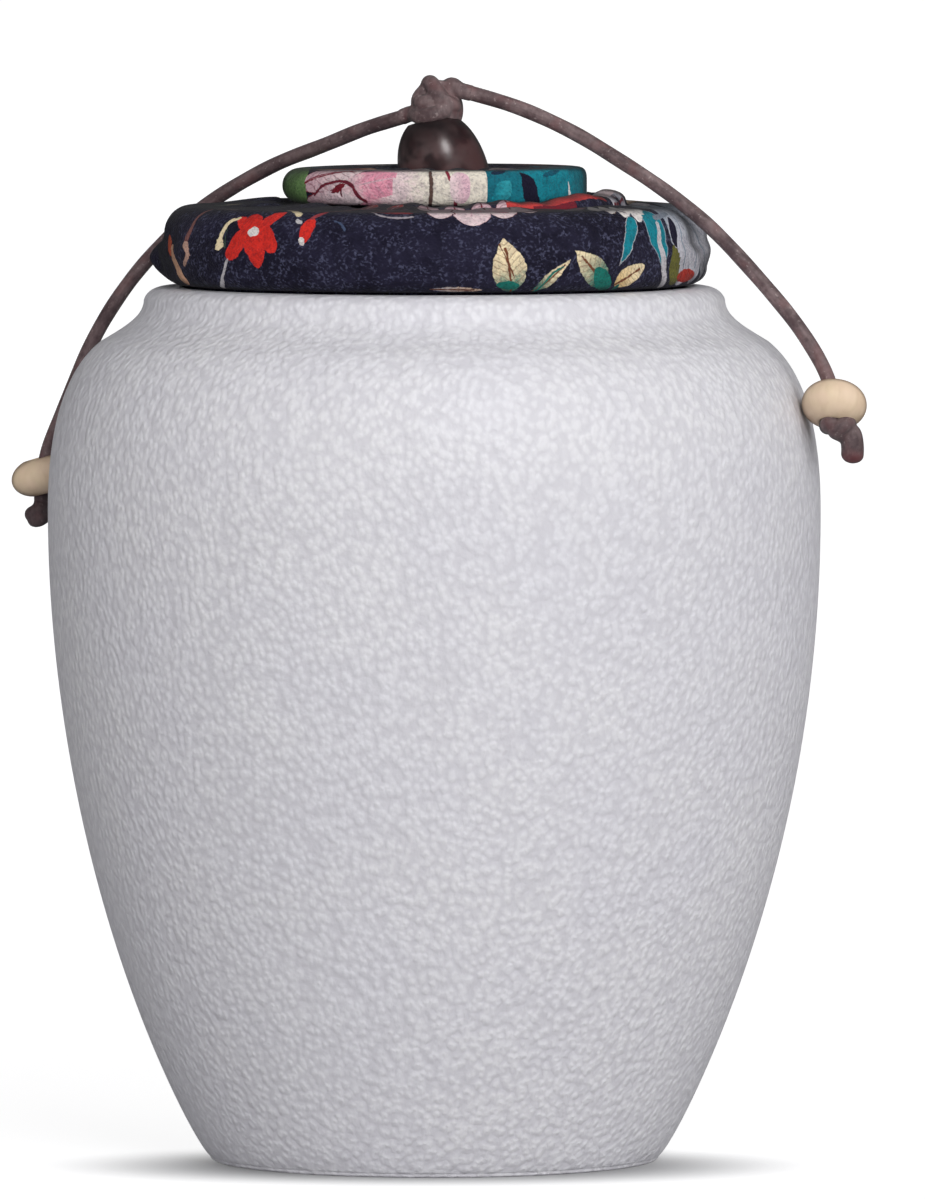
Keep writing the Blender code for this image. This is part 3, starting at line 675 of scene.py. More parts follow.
def cord_material():
    """Mauve-brown waxed cord: paler and redder patches, fine streaks along it, and pale specks that are painted
    highlights where light catches the braid. Some pieces are darker all over by the share that each is given, it is
    redder at a cut end, and painted shade darkens the edges that turn away."""
    made, shader, principled = new_material("waxed_cord", 0.55, Sheen_Weight=0.1)
    own = shader.attribute("own_place").outputs["Vector"]
    fibres = shader.group(FIBRES, {"Place": own, "Scale": 1500.0})
    clouds = shader.group(MOTTLE, {"Place": own, "Broad": 330.0, "Fine": 1500.0})["Share"]
    colour = shader.mix(clouds, linear(84, 66, 68), linear(132, 112, 112))
    colour = shader.tint(colour, linear(66, 48, 52), fibres["Streaks"], 0.4)
    blush = shader.noise(shader.node("ShaderNodeTexCoord").outputs["Object"], 420.0, 1.0, 0.5)
    colour = shader.tint(colour, linear(124, 82, 82), shader.clamp01(0.5, 0.7, blush), 0.35)
    # Painted highlights: pale specks where light catches the braid.
    speck_highlights = shader.clamp01(0.66, 0.74, shader.noise(own, 1900.0, 1.0, 0.5))
    colour = shader.tint(colour, linear(178, 162, 160), speck_highlights, 0.4)
    cord_shares = shader.split(shader.attribute("cord_state").outputs["Vector"])
    # Darker all over by the share that each piece is given.
    colour = shader.tint(colour, linear(42, 28, 34), cord_shares[1], 0.75)
    colour = shader.mix(cord_shares[0], colour, linear(104, 46, 50))
    # Painted shade where the cord turns away.
    shader.feed(principled["Base Color"], shader.tint(colour, linear(24, 18, 20), painted_edge_shade(shader), 0.9))
    height = shader.math("MULTIPLY_ADD", clouds, 0.3, fibres["Height"])
    shader.feed(principled["Normal"], shader.bumped(height, 0.3, 0.00006))
    return made


GLAZE = glaze_material()
CLOTH = printed_cloth()
DARK_WOOD = dark_wood_material()
PALE_WOOD = pale_wood_material()
CORD = cord_material()


# ---- the camera, set from the photograph's own sizes ----

PHOTO_WIDTH = 925
PHOTO_SCALE = 0.12937  # millimetres to a pixel at the jar's axis
CAMERA_DISTANCE = 2050.0
CAMERA_HEIGHT = 184.0
AIM = (3.62, 72.4)


def make_camera():
    data = bpy.data.cameras.new("camera")
    data.sensor_fit = "HORIZONTAL"
    data.sensor_width = 36.0
    reach = math.hypot(CAMERA_DISTANCE, CAMERA_HEIGHT - AIM[1])
    data.lens = 36.0 * reach / (PHOTO_WIDTH * PHOTO_SCALE)
    data.clip_end = 30
    camera = bpy.data.objects.new("camera", data)
    camera.location = (AIM[0] * MM, -CAMERA_DISTANCE * MM, CAMERA_HEIGHT * MM)
    tilt = math.atan2(CAMERA_HEIGHT - AIM[1], CAMERA_DISTANCE)
    camera.rotation_euler = (math.pi / 2 - tilt, 0, 0)
    bpy.context.scene.collection.objects.link(camera)
    bpy.context.scene.camera = camera


make_camera()


# ---- the cords, their knots and beads ----


def placed(route):
    return np.asarray(route, float) + (0, 0, RIM_HEIGHT)


def frames_along(path):
    """Two directions across the path at each point, carried along it without twist."""
    along = np.gradient(path, axis=0)
    along /= np.linalg.norm(along, axis=1)[:, None]
    first = np.cross(along[0], (0.3, 1.0, 0.2))
    across = [first / np.linalg.norm(first)]
    for direction in along[1:]:
        kept = across[-1] - direction * np.dot(across[-1], direction)
        across.append(kept / np.linalg.norm(kept))
    across = np.array(across)
    return along, across, np.cross(along, across)


def tube_grid(path, radius, sides):
    """Rings round a path: p + r (cos a m - sin a n), with m and n across it. The radius has one value a
    point, or one a point and side."""
    _, m, n = frames_along(path)
    turns = np.linspace(0, math.tau, sides, endpoint=False)
    radius = np.asarray(radius, float)
    if radius.ndim == 1:
        radius = radius[:, None]
    ring = np.cos(turns)[None, :, None] * m[:, None, :] - np.sin(turns)[None, :, None] * n[:, None, :]
    return path[:, None, :] + radius[:, :, None] * ring


def make_cord(name, route, darker_share):
    """A free cord: a tube whose radius wavers a little with place and side, ending flat. Its path is evened
    out between its ends, each point moving to the mean of its neighbours."""
    path = smooth_path(placed(route), CORD_STEP)
    for _ in range(CORD_EVENINGS):
        path[2:-2] = (path[1:-3] + 2 * path[2:-2] + path[3:-1]) / 4
    length = np.linalg.norm(np.diff(path, axis=0), axis=1).sum()
    reach = np.linspace(0, length, len(path))[:, None]
    turns = np.linspace(0, math.tau, CORD_SIDES, endpoint=False)[None, :]
    waver = 0.012 * np.sin(reach * 0.9 + 2 * turns) + 0.01 * np.sin(reach * 0.47 - turns + 1.3)
    grid = tube_grid(path, CORD_DIAMETER / 2 * (FREE_CORD_SHARE + waver), CORD_SIDES)
    cord = round_surface(name, grid, CORD, path[0], path[-1])
    own = np.stack([np.cos(turns) + 0 * reach, np.sin(turns) + 0 * reach, reach + 0 * turns], axis=-1).reshape(-1, 3)
    own = np.vstack([own, (0, 0, 0), (0, 0, length)]) * MM
    set_vector(cord.data, "own_place", own, "POINT")
    state = np.zeros_like(own)
    state[:, 1] = darker_share
    set_vector(cord.data, "cord_state", state, "POINT")
    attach(cord, "root")
    return cord, path


def bezel_bead(name, profile, columns, finish, centre, turn):
    """A bored bead: a closed ring profile turned about its own axis, then leant and moved into place."""
    grid = turned(np.vstack([profile, profile[:1]]), columns)
    rows = len(profile)
    own = grid[:rows].reshape(-1, 3)
    row, column = grid_faces(rows + 1, columns)
    faces = ((row % rows) * columns + column % columns).tolist()
    points = own @ np.array(turn).T + centre
    bead = new_object(name, points, faces, finish)
    set_vector(bead.data, "own_place", own * MM, "POINT")
    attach(bead, "root")
    return bead


def make_end_bead(name, route, tilt, flatness):
    """The pale bead: half width R sin(a)^0.85 and half height H cos(a), with soft lips at the bore. It hangs
    on the cord a little askew."""
    before, end = placed(route)[-2:]
    along = Vector(end - before).normalized()
    turn = Matrix.Rotation(tilt, 3, "Y") @ Vector((0, 0, -1)).rotation_difference(along).to_matrix()
    a = math.pi * (0.14 + 0.72 * np.linspace(0, 1, 49))
    half = flatness * BEAD_HEIGHT / 2 / math.cos(0.14 * math.pi)
    outside = np.stack([BEAD_RADIUS * np.sin(a) ** 0.85, half * np.cos(a)], axis=1)
    top, low = outside[0], outside[-1]
    bore_top, bore_low = (BEAD_BORE, top[1] - 0.35), (BEAD_BORE, low[1] + 0.35)
    profile = np.vstack([
        outside,
        rounding(low, (BEAD_BORE, low[1]), bore_low, 6),
        line(bore_low, bore_top, 4),
        rounding(bore_top, (BEAD_BORE, top[1]), top, 6)[:-1],
    ])
    centre = end - np.array(along) * BEAD_HEIGHT / 2
    return bezel_bead(name, profile, BEAD_COLUMNS, PALE_WOOD, centre, turn)


def add_tube(points, faces, path, radius):
    """Adds a tube with flat ends to the points and faces gathered so far."""
    start = sum(len(p) for p in points)
    grid = tube_grid(path, radius, KNOT_SIDES)
    rows, columns = grid.shape[:2]
    row, column = grid_faces(rows, columns)
    faces.extend((start + row * columns + column % columns).tolist())
    around = np.arange(columns)
    last = start + (rows - 1) * columns
    faces.extend([(start + around).tolist(), (last + around[::-1]).tolist()])
    points.append(grid.reshape(-1, 3))


def make_knot(name, strands, swell, darker_share, cut_ends, cores=()):
    """A knot: each strand is a tube, one skin is drawn over them all and then relaxed. A swollen strand ends
    round, and thicker cores fill the middle."""
    points, faces = [], []
    for strand in strands:
        path = smooth_path(strand, CORD_DIAMETER / 14)
        share = np.linspace(0, 1, len(path))
        radius = CORD_DIAMETER / 2 * (1 + (swell - 1) * smooth_step(*TAIL_SWELLS, share))
        if swell > 1:
            radius *= np.sqrt(1.02 - np.clip((share - TAIL_CLOSES) / (1 - TAIL_CLOSES), 0, 1) ** 2)
        add_tube(points, faces, path, radius)
    for core in cores:
        path = smooth_path(core, CORD_DIAMETER / 14)
        add_tube(points, faces, path, np.full(len(path), CORD_DIAMETER / 2 * CORE_THICKNESS))
    knot = new_object(name, np.vstack(points), faces, CORD)
    skin = knot.modifiers.new("one skin", "REMESH")
    skin.mode = "VOXEL"
    skin.voxel_size = KNOT_SKIN * MM
    relax = knot.modifiers.new("relaxed", "SMOOTH")
    relax.factor = 0.5
    relax.iterations = KNOT_RELAXINGS
    evaluated = knot.evaluated_get(bpy.context.evaluated_depsgraph_get())
    mesh = bpy.data.meshes.new_from_object(evaluated)
    knot.modifiers.clear()
    knot.data = mesh
    mesh.shade_smooth()
    place = np.empty(len(mesh.vertices) * 3, np.float32)
    mesh.vertices.foreach_get("co", place)
    place = place.reshape(-1, 3)
    state = np.zeros_like(place)
    state[:, 1] = darker_share
    for end in cut_ends:
        away = np.linalg.norm(place / MM - end, axis=1)
        state[:, 0] = np.maximum(state[:, 0], 1 - smooth_step(*CUT_FADE, away))
    set_vector(mesh, "cord_state", state, "POINT")
    set_vector(mesh, "own_place", place, "POINT")
    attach(knot, "root")
    return knot


def make_top_knot():
    """The knot on the knob bead. Its strands come up through the bore and go out to the two cords."""
    lean = np.array(Matrix.Rotation(KNOB_LEAN, 3, "Y"))
    foot = KNOB_CENTRE + lean @ (0, 0, KNOB_RISE)
    strands = []
    for strand, route, side in ((RIGHT_STRAND, RIGHT_ROUTE, -1), (LEFT_STRAND, LEFT_ROUTE, 1)):
        beside = side * CORD_DIAMETER / 2
        in_bore = (0, KNOB_RISE - CORD_DIAMETER / 2)
        points = [KNOB_CENTRE + lean @ (beside, 0, height) for height in in_bore]
        points += [foot + np.array(point) * CORD_DIAMETER for point in strand]
        start, after = placed(route)[:2]
        out = (after - start) / np.linalg.norm(after - start)
        points += [start - out * (GAP + CORD_DIAMETER / 2), start + out * GAP]
        strands.append(points)
    cores = [[foot + np.array(point) * CORD_DIAMETER for point in core] for core in TOP_CORES]
    knot = make_knot("knotted_top", strands, 1.0, 0.1, (), cores)
    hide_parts("top_knot")
    return knot


def make_end_knot(name, route, strand, darker_share, has_tail):
    """The knot under an end bead. Where it has a tail, the tail's cut end has swollen."""
    before, end = placed(route)[-2:]
    along = (end - before) / np.linalg.norm(end - before)
    points = [end - along * GAP] + [end + np.array(point) * CORD_DIAMETER for point in strand]
    return make_knot(name, [points], TAIL_SWELL if has_tail else 1.0, darker_share, [points[-1]] if has_tail else ())


def make_cord_side(side, route, strand, darker_share, knot_darker_share):
    """One free cord with its bead and end knot. The length is that of its route, which the photograph shows."""
    cord, path = make_cord("free_cord_" + side, route, darker_share)
    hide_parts("cord_" + side)
    bead = make_end_bead("wooden_bead_" + side, route, BEAD_TILTS[side], BEAD_FLATNESS[side])
    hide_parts("bead_" + side)
    knot = make_end_knot("knotted_end_" + side, route, strand, knot_darker_share, side == "right")
    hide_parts("end_knot_" + side)


make_cord_side("right", RIGHT_ROUTE, RIGHT_END_STRAND, 0.0, 0.35)
make_cord_side("left", LEFT_ROUTE, LEFT_END_STRAND, 0.45, 0.8)
make_top_knot()


def make_knob():
    """The dark bead: half width R (1 - (h/H)^2.3)^(1/2.3) above its widest place, a half ellipse below. Its crown
    goes a little further up under the knot than the solid's."""
    fullness = 2.3
    tall = KNOB_RISE / (1 - (KNOB_TOP_RADIUS / KNOB_RADIUS) ** fullness) ** (1 / fullness)
    height = (KNOB_RISE + KNOB_CREST) * np.cos(math.pi / 2 * np.linspace(0, 1, 40))
    dome = np.stack([KNOB_RADIUS * (1 - (height / tall) ** fullness) ** (1 / fullness), height], axis=1)
    turn = math.acos(KNOB_BORE / KNOB_RADIUS) * np.linspace(0, 1, 24)[1:]
    below = np.stack([KNOB_RADIUS * np.cos(turn), -KNOB_DROP * np.sin(turn)], axis=1)
    bore = line(below[-1], (KNOB_BORE, height[0] - 0.3), 6)
    lip = rounding(bore[-1], (KNOB_BORE, height[0] + 0.1), dome[0], 6)[:-1]
    profile = np.vstack([dome, below, bore, lip])
    lean = Matrix.Rotation(KNOB_LEAN, 3, "Y")
    knob = bezel_bead("dark_knob", profile, BEAD_COLUMNS, DARK_WOOD, KNOB_CENTRE, lean)
    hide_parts("knob_bead")


make_knob()


# ---- the jar ----


def jar_profile():
    """The jar's section from the floor's middle up the inside, over the rim, down the outside and under the
    foot, made of the Bezier curves that the part's source uses."""
    foot, belly = (FOOT_RADIUS, FOOT_EDGE), (BELLY_RADIUS, BELLY_HEIGHT)
    shoulder, neck = (SHOULDER_RADIUS, SHOULDER_HEIGHT), (NECK_RADIUS, NECK_HEIGHT)
    lip = (NECK_RADIUS - LIP_ROUND, RIM_HEIGHT)
    flare = (FOOT_RADIUS + FOOT_HANDLE[0], FOOT_EDGE + FOOT_HANDLE[1])
    above = BELLY_HEIGHT + SHOULDER_RISE * BELLY_ABOVE
    lower = (BELLY_RADIUS, BELLY_HEIGHT * BELLY_BELOW)
    into_shoulder = (SHOULDER_RADIUS + SHOULDER_HANDLE[0], SHOULDER_HEIGHT - SHOULDER_HANDLE[1])
    from_shoulder = (SHOULDER_RADIUS - NECK_START_HANDLE[0], SHOULDER_HEIGHT + NECK_START_HANDLE[1])
    into_neck = (NECK_RADIUS + NECK_END_HANDLE[0], NECK_HEIGHT - NECK_END_HANDLE[1])
    outside = np.vstack([
        [foot],
        bezier(foot, flare, lower, belly, 64),
        bezier(belly, (BELLY_RADIUS, above), into_shoulder, shoulder, 30),
        bezier(shoulder, from_shoulder, into_neck, neck, 16),
        rounding(neck, (NECK_RADIUS, RIM_HEIGHT), lip, 10),
    ])
    rim = (MOUTH_RADIUS + LIP_INNER_ROUND, RIM_HEIGHT)
    throat_top = (MOUTH_RADIUS, RIM_HEIGHT - LIP_INNER_ROUND)
    throat = (MOUTH_RADIUS, NECK_HEIGHT - NECK_RISE)
    inner_belly = (BELLY_RADIUS - WALL, BELLY_HEIGHT)
    floor_edge = (FOOT_RADIUS - WALL, FLOOR)
    inside = np.vstack([
        [rim],
        rounding(rim, (MOUTH_RADIUS, RIM_HEIGHT), throat_top, 6),
        line(throat_top, throat, 3),
        bezier(throat, (MOUTH_RADIUS + WALL, SHOULDER_HEIGHT - WALL), (BELLY_RADIUS - WALL, above), inner_belly, 16),
        bezier(inner_belly, (BELLY_RADIUS - WALL, lower[1]), (FOOT_RADIUS, FLOOR + WALL * 0.4), floor_edge, 24),
        line(floor_edge, (2.0, FLOOR), 6),
    ])
    ring_inner = FOOT_RADIUS - FOOT_EDGE - FOOT_RING_WIDTH
    under = np.vstack([
        rounding(foot, (FOOT_RADIUS, 0), (FOOT_RADIUS - FOOT_EDGE, 0), 4),
        line((FOOT_RADIUS - FOOT_EDGE, 0), (ring_inner, 0), 4),
        line((ring_inner, 0), (ring_inner - FOOT_EDGE, FOOT_RECESS), 3),
        line((ring_inner - FOOT_EDGE, FOOT_RECESS), (2.0, FOOT_RECESS), 5),
    ])
    return np.vstack([inside[::-1], outside[::-1], under])


def make_jar():
    """The jar: the turned section, drawn in by up to 0.16 mm here and there as a hand-finished pot is: r is
    multiplied by 1 + (w - 0.08) / R with w = 0.05 sin(2a + z/19) + 0.03 sin(3a - z/11)."""
    grid = turned(jar_profile(), JAR_COLUMNS)
    turns = np.arctan2(grid[..., 1], grid[..., 0])
    height = grid[..., 2]
    waver = 0.05 * np.sin(2 * turns + height / 19) + 0.03 * np.sin(3 * turns - height / 11)
    calm = smooth_step(1.0, 12.0, height) * (1 - smooth_step(100.0, 110.0, height))
    grid[..., :2] *= (1 + (waver - 0.08) * calm / BELLY_RADIUS)[..., None]
    jar = round_surface("glazed_jar", grid, GLAZE, (0, 0, FLOOR), (0, 0, FOOT_RECESS))
    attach(jar, "root")
    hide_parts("jar")


make_jar()


# ---- the printed pattern ----

CREAM = linear(232, 214, 176)
WHITE = linear(226, 220, 216)
PINK = linear(226, 150, 170)
ROSE = linear(206, 168, 178)
BLUSH = linear(222, 200, 202)
LINEN = linear(222, 214, 200)
STREAKED = linear(206, 204, 212)
RED = linear(214, 48, 40)
DARK_RED = linear(116, 30, 42)
BROWN = linear(112, 66, 46)
TEAL = linear(20, 126, 141)
SEA = linear(26, 112, 100)
GREEN = linear(100, 132, 80)
OLIVE = linear(104, 102, 46)
PEACH = linear(214, 168, 138)
ORANGE = linear(206, 92, 58)
GREY_BLUE = linear(140, 150, 162)
PALE_GREY = linear(186, 182, 186)
NAVY = linear(26, 24, 44)


def petal(base, tip, half, fill, foot=None, rim=None, rim_width=0.0, rib=0.0, widest=1.0, blunt=0.6, reach=0.6):
    """A petal or leaf from base to tip, in millimetres round the cloth and up it."""
    return {
        "base": base,
        "tip": tip,
        "half": half,
        "fill": (*fill[:3], rim_width),
        "foot": (*(foot or fill)[:3], reach),
        "rim": rim or fill,
        "form": (widest, blunt, rib),
    }


def leaf(base, tip, half, fill=CREAM, foot=SEA, rib=0.13, reach=0.45):
    return petal(base, tip, half, fill, foot, BROWN, 0.0, rib, 0.85, 0.9, reach)


def stroke(points, start_half, end_half, fill):
    """A painted line through the points, its half width going from one value to the other."""
    return {"points": points, "halves": (start_half, end_half), "fill": fill}


def add_petals(mesh, layer, petals, around, up, row, column):
    """Gives each face of the cloth to the petal that it lies deepest in, and stores at its corners where they
    are in that petal: t along it, and the distance across it. Both are plain linear functions, so the
    edge that the material draws is exact."""
    base = np.array([p["base"] for p in petals], float)
    tip = np.array([p["tip"] for p in petals], float)
    half = np.array([p["half"] for p in petals], float)
    form = np.array([p["form"] for p in petals], float)
    along = tip - base
    length = np.linalg.norm(along, axis=1)
    along /= length[:, None]
    corner_around, corner_up = around[row, column], up[row, column]
    middle_around, middle_up = corner_around.mean(axis=1), corner_up.mean(axis=1)
    best = np.full(len(row), -1e9)
    chosen = np.zeros(len(row), int)
    for k in range(len(petals)):
        a, h = middle_around - base[k, 0], middle_up - base[k, 1]
        t = (a * along[k, 0] + h * along[k, 1]) / length[k]
        off = np.abs(a * -along[k, 1] + h * along[k, 0])
        beyond = np.maximum(np.maximum(-t, t - 1), 0) * length[k]
        swell = np.sin(math.pi * np.clip(t, 0, 1) ** form[k, 0]) ** form[k, 1]
        depth = half[k] * swell - off - 3 * beyond
        better = depth > best
        best[better] = depth[better]
        chosen[better] = k
    kept = chosen[:, None]
    a, h = corner_around - base[kept, 0], corner_up - base[kept, 1]
    t = (a * along[kept, 0] + h * along[kept, 1]) / length[kept]
    off = -a * along[kept, 1] + h * along[kept, 0]
    count = len(mesh.loops)
    padding = count - row.size
    place = np.stack([t, off, half[kept] + 0 * t], axis=-1).reshape(-1, 3)
    rest = np.tile((-1.0, 9.0, 0.0), (padding, 1))
    set_vector(mesh, layer + "_place", np.vstack([place, rest]))
    for key, setter in (("form", set_vector), ("fill", set_colour), ("foot", set_colour), ("rim", set_colour)):
        values = np.array([p[key] for p in petals], float)[np.repeat(chosen, 4)]
        filler = np.tile(values[:1], (padding, 1))
        setter(mesh, layer + "_" + key, np.vstack([values, filler]))


def add_strokes(mesh, strokes, around, up, row, column):
    """Gives each face to the nearest piece of a stroke, and stores the signed distance across it and its half
    width, less what lies beyond its ends, at the face's corners."""
    starts, ends, firsts, seconds, fills, is_first, is_last = [], [], [], [], [], [], []
    for one in strokes:
        flat = np.hstack([np.asarray(one["points"], float), np.zeros((len(one["points"]), 1))])
        path = smooth_path(flat, STROKE_STEP)[:, :2]
        halves = np.interp(np.linspace(0, 1, len(path)), (0, 1), one["halves"])
        starts.append(path[:-1])
        ends.append(path[1:])
        firsts.append(halves[:-1])
        seconds.append(halves[1:])
        count = len(path) - 1
        fills.append(np.tile(one["fill"], (count, 1)))
        is_first.append(np.arange(count) == 0)
        is_last.append(np.arange(count) == count - 1)
    starts, ends = np.vstack(starts), np.vstack(ends)
    firsts, seconds, fills = np.concatenate(firsts), np.concatenate(seconds), np.vstack(fills)
    is_first, is_last = np.concatenate(is_first), np.concatenate(is_last)
    along = ends - starts
    length = np.linalg.norm(along, axis=1)
    along /= length[:, None]
    corner_around, corner_up = around[row, column], up[row, column]
    middle_around, middle_up = corner_around.mean(axis=1), corner_up.mean(axis=1)
    best = np.full(len(row), 1e9)
    chosen = np.zeros(len(row), int)
    for k in range(len(starts)):
        a, h = middle_around - starts[k, 0], middle_up - starts[k, 1]
        t = np.clip(a * along[k, 0] + h * along[k, 1], 0, length[k])
        away = np.hypot(a - t * along[k, 0], h - t * along[k, 1]) - firsts[k]
        nearer = away < best
        best[nearer] = away[nearer]
        chosen[nearer] = k
    kept = chosen[:, None]
    a, h = corner_around - starts[kept, 0], corner_up - starts[kept, 1]
    t = a * along[kept, 0] + h * along[kept, 1]
    off = -a * along[kept, 1] + h * along[kept, 0]
    half = firsts[kept] + (seconds - firsts)[kept] * np.clip(t / length[kept], 0, 1)
    before = np.where(is_first[kept], np.maximum(-t, 0), 0)
    after = np.where(is_last[kept], np.maximum(t - length[kept], 0), 0)
    half = half - 2 * (before + after)
    padding = len(mesh.loops) - row.size
    place = np.stack([off, half, 0 * off], axis=-1).reshape(-1, 3)
    set_vector(mesh, "stroke_place", np.vstack([place, np.tile((9.0, 0.0, 0.0), (padding, 1))]))
    values = fills[np.repeat(chosen, 4)]
    set_colour(mesh, "stroke_fill", np.vstack([values, np.tile(values[:1], (padding, 1))]))


def laid(ones, place):
    """The same petals or strokes, with every point moved to where place says."""
    moves = {"base": lambda p: place(*p), "tip": lambda p: place(*p), "points": lambda ps: [place(*p) for p in ps]}
    return [{key: moves[key](value) if key in moves else value for key, value in one.items()} for one in ones]


def print_cloth(piece, shape, up, radius, low, high, strokes):
    """Prints the three layers on a round piece of cloth, whose places are given as distances from its front, and
    round the cloth they are counted from SEAM_PLACE to the left of it. One more column closes the round."""
    turns = np.linspace(0, math.tau, shape[1] + 1)
    around = radius * (turns - 1.5 * math.pi)[None, :] + np.zeros((shape[0], 1))
    around = np.where(around < -math.pi * radius - 1e-6, around + math.tau * radius, around)
    around = np.mod(around + SEAM_PLACE, math.tau * radius)
    seam = around[:, -1] < around[:, -2]
    around[seam, -1] += math.tau * radius
    up = up[:, None] + np.zeros((1, shape[1] + 1))
    low, high, strokes = (laid(layer, lambda a, h: (a + SEAM_PLACE, h)) for layer in (low, high, strokes))
    row, column = grid_faces(*shape)
    add_petals(piece.data, "low", low, around, up, row, column)
    add_petals(piece.data, "high", high, around, up, row, column)
    add_strokes(piece.data, strokes, around, up, row, column)


# ---- the lid's pad ----


def pad_profile():
    """The pad's section from its hollow outwards, down its side, and round the plug. Also returns the distance
    up the cloth from the base at each point."""
    side = PAD_RADIUS - PAD_BULGE
    plug = MOUTH_RADIUS - PLUG_CLEARANCE
    plug_base = RIM_HEIGHT - PLUG_DEPTH
    share = np.linspace(0.06, 1, HOLLOW_ROWS)
    hollow = np.stack([HOLLOW_RADIUS * share, PAD_TOP - HOLLOW_DEPTH * (1 + np.cos(math.pi * share)) / 2], axis=1)
    top_edge = (PAD_RADIUS - PAD_TOP_ROUND, PAD_TOP)
    shoulder = (side, PAD_TOP - PAD_TOP_ROUND)
    waist = (PAD_RADIUS, PAD_BASE + PAD_THICKNESS * 0.45)
    heel = (side, PAD_BASE + PAD_BOTTOM_ROUND)
    sole = (side - PAD_BOTTOM_ROUND, PAD_BASE)
    plug_edge = (plug, plug_base + PLUG_ROUND)
    profile = np.vstack([
        hollow,
        line((HOLLOW_RADIUS, PAD_TOP), top_edge, TOP_ROWS),
        rounding(top_edge, (side, PAD_TOP), shoulder, EDGE_ROWS),
        bezier(shoulder, (side + 0.1, shoulder[1] - 0.6), (PAD_RADIUS, waist[1] + 0.6), waist, SIDE_ROWS),
        bezier(waist, (PAD_RADIUS, waist[1] - 1.0), (side + 0.12, heel[1] + 0.8), heel, LOW_ROWS),
        rounding(heel, (side, PAD_BASE), sole, HEEL_ROWS),
        line(sole, (plug, PAD_BASE), 4),
        line((plug, PAD_BASE), plug_edge, 4),
        rounding(plug_edge, (plug, plug_base), (plug - PLUG_ROUND, plug_base), 5),
        line((plug - PLUG_ROUND, plug_base), (1.0, plug_base), 4),
    ])
    steps = np.linalg.norm(np.diff(profile, axis=0), axis=1)
    down = np.concatenate([[0], np.cumsum(steps)])
    at_waist = HOLLOW_ROWS + TOP_ROWS + EDGE_ROWS + SIDE_ROWS - 1
    up = down[at_waist] - down + (waist[1] - PAD_BASE)
    return profile, up


def shape_pad(grid, up):
    """Moves the pad's cloth, in millimetres. Round the button it rises in pleats by 0.8 (0.5 + 0.35 cos(11a) +
    0.15 cos(3a)), with finer ones on them. At the right it rises in one round roll, by
    1.45 sqrt(1 - ((r - 22.2) / 2.7)^2), with a crease behind it. The side has broad soft swells, one crease,
    one lump at the left and small puckers, and the top edge is pressed in under each cord."""
    radius = np.hypot(grid[..., 0], grid[..., 1])
    turn = np.arctan2(grid[..., 1], grid[..., 0])
    band = PAD_RADIUS - PAD_TOP_ROUND - BUTTON_RADIUS
    out = (radius - BUTTON_RADIUS) / band
    shown = smooth_step(-2.0, 0.5, up)
    on_top = smooth_step(7.0, 12.0, up)
    gathered = 1 - smooth_step(0.17, 1.0, out)
    clear = smooth_step(0.0, 0.18, out)
    fold = 0.5 + 0.35 * np.cos(PLEATS * turn + 0.6) + 0.15 * np.cos(3 * turn - 1.1)
    rise = 0.8 * fold * gathered * clear * on_top
    at_right = bump(turn_apart(turn, math.radians(-16)), math.radians(50))
    roll = np.sqrt(np.clip(1 - ((radius - 22.2) / 2.7) ** 2, 0, 1))
    rise += 1.45 * at_right * roll * on_top
    rise -= 0.45 * at_right * bump(radius - 25.2, 0.5) * on_top
    rise += 0.2 * at_right * bump(radius - 28.0, 2.2) * on_top
    fine_pleats = np.cos(33 * turn + 1.2 * np.sin(5 * turn))
    rise += 0.16 * fine_pleats * gathered * clear * on_top * (1 - 0.6 * at_right)
    swell = 0.16 * np.sin(3 * turn + 0.4) * np.sin(up / 4.2 + 1.0) + 0.12 * np.sin(7 * turn + up / 3.1)
    swell += 0.07 * np.sin(17 * turn - up / 1.9) + 0.05 * np.sin(29 * turn + up * 0.9)
    crease_line = PAD_RADIUS * (turn + math.pi / 2) + 13.0 + 0.18 * (up - 4.0)
    crease = -0.32 * bump(crease_line, 0.45) * bump(up - 4.2, 3.4)
    crease += 0.16 * bump(crease_line - 1.4, 1.1) * bump(up - 4.6, 3.4)
    puckers = -0.14 * np.clip(np.cos(46 * turn + 0.6 * np.sin(9 * turn)), 0, 1) ** 3 * bump(up - 0.6, 1.1)
    lump = 2.0 * bump(PAD_RADIUS * turn_apart(turn, math.radians(171)), 3.0) * bump(up - 3.0, 2.1)
    push = (swell + crease + puckers + lump) * shown * (1 - smooth_step(0.0, 0.5, on_top) * 0.6)
    corner = np.hypot(radius - PAD_RADIUS, grid[..., 2] - PAD_TOP)
    near_corner = 1 - smooth_step(PAD_TOP_ROUND * 0.4, PAD_TOP_ROUND * 2.2, corner)
    near_cord = sum(bump(turn_apart(turn, cord), math.radians(7)) for cord in (RIGHT_CORD_TURN, LEFT_CORD_TURN))
    press = CORD_PRESS * near_corner * near_cord
    scale = (radius + push - press) / np.maximum(radius, 1e-6)
    grid = grid.copy()
    grid[..., :2] *= scale[..., None]
    grid[..., 2] += rise - press
    return grid


PROFILE_PAD, UP_PAD = pad_profile()


def front(x, up):
    """Where a point seen from the front at x lies on the pad's cloth: distance round it, and up it."""
    rows = TOP_ROWS + EDGE_ROWS + SIDE_ROWS + LOW_ROWS + HEEL_ROWS
    shown = slice(HOLLOW_ROWS, HOLLOW_ROWS + rows)
    order = np.argsort(UP_PAD[shown])
    radius = np.interp(up, UP_PAD[shown][order], PROFILE_PAD[shown, 0][order])
    return PAD_RADIUS * math.asin(max(-0.995, min(0.995, x / radius))), up


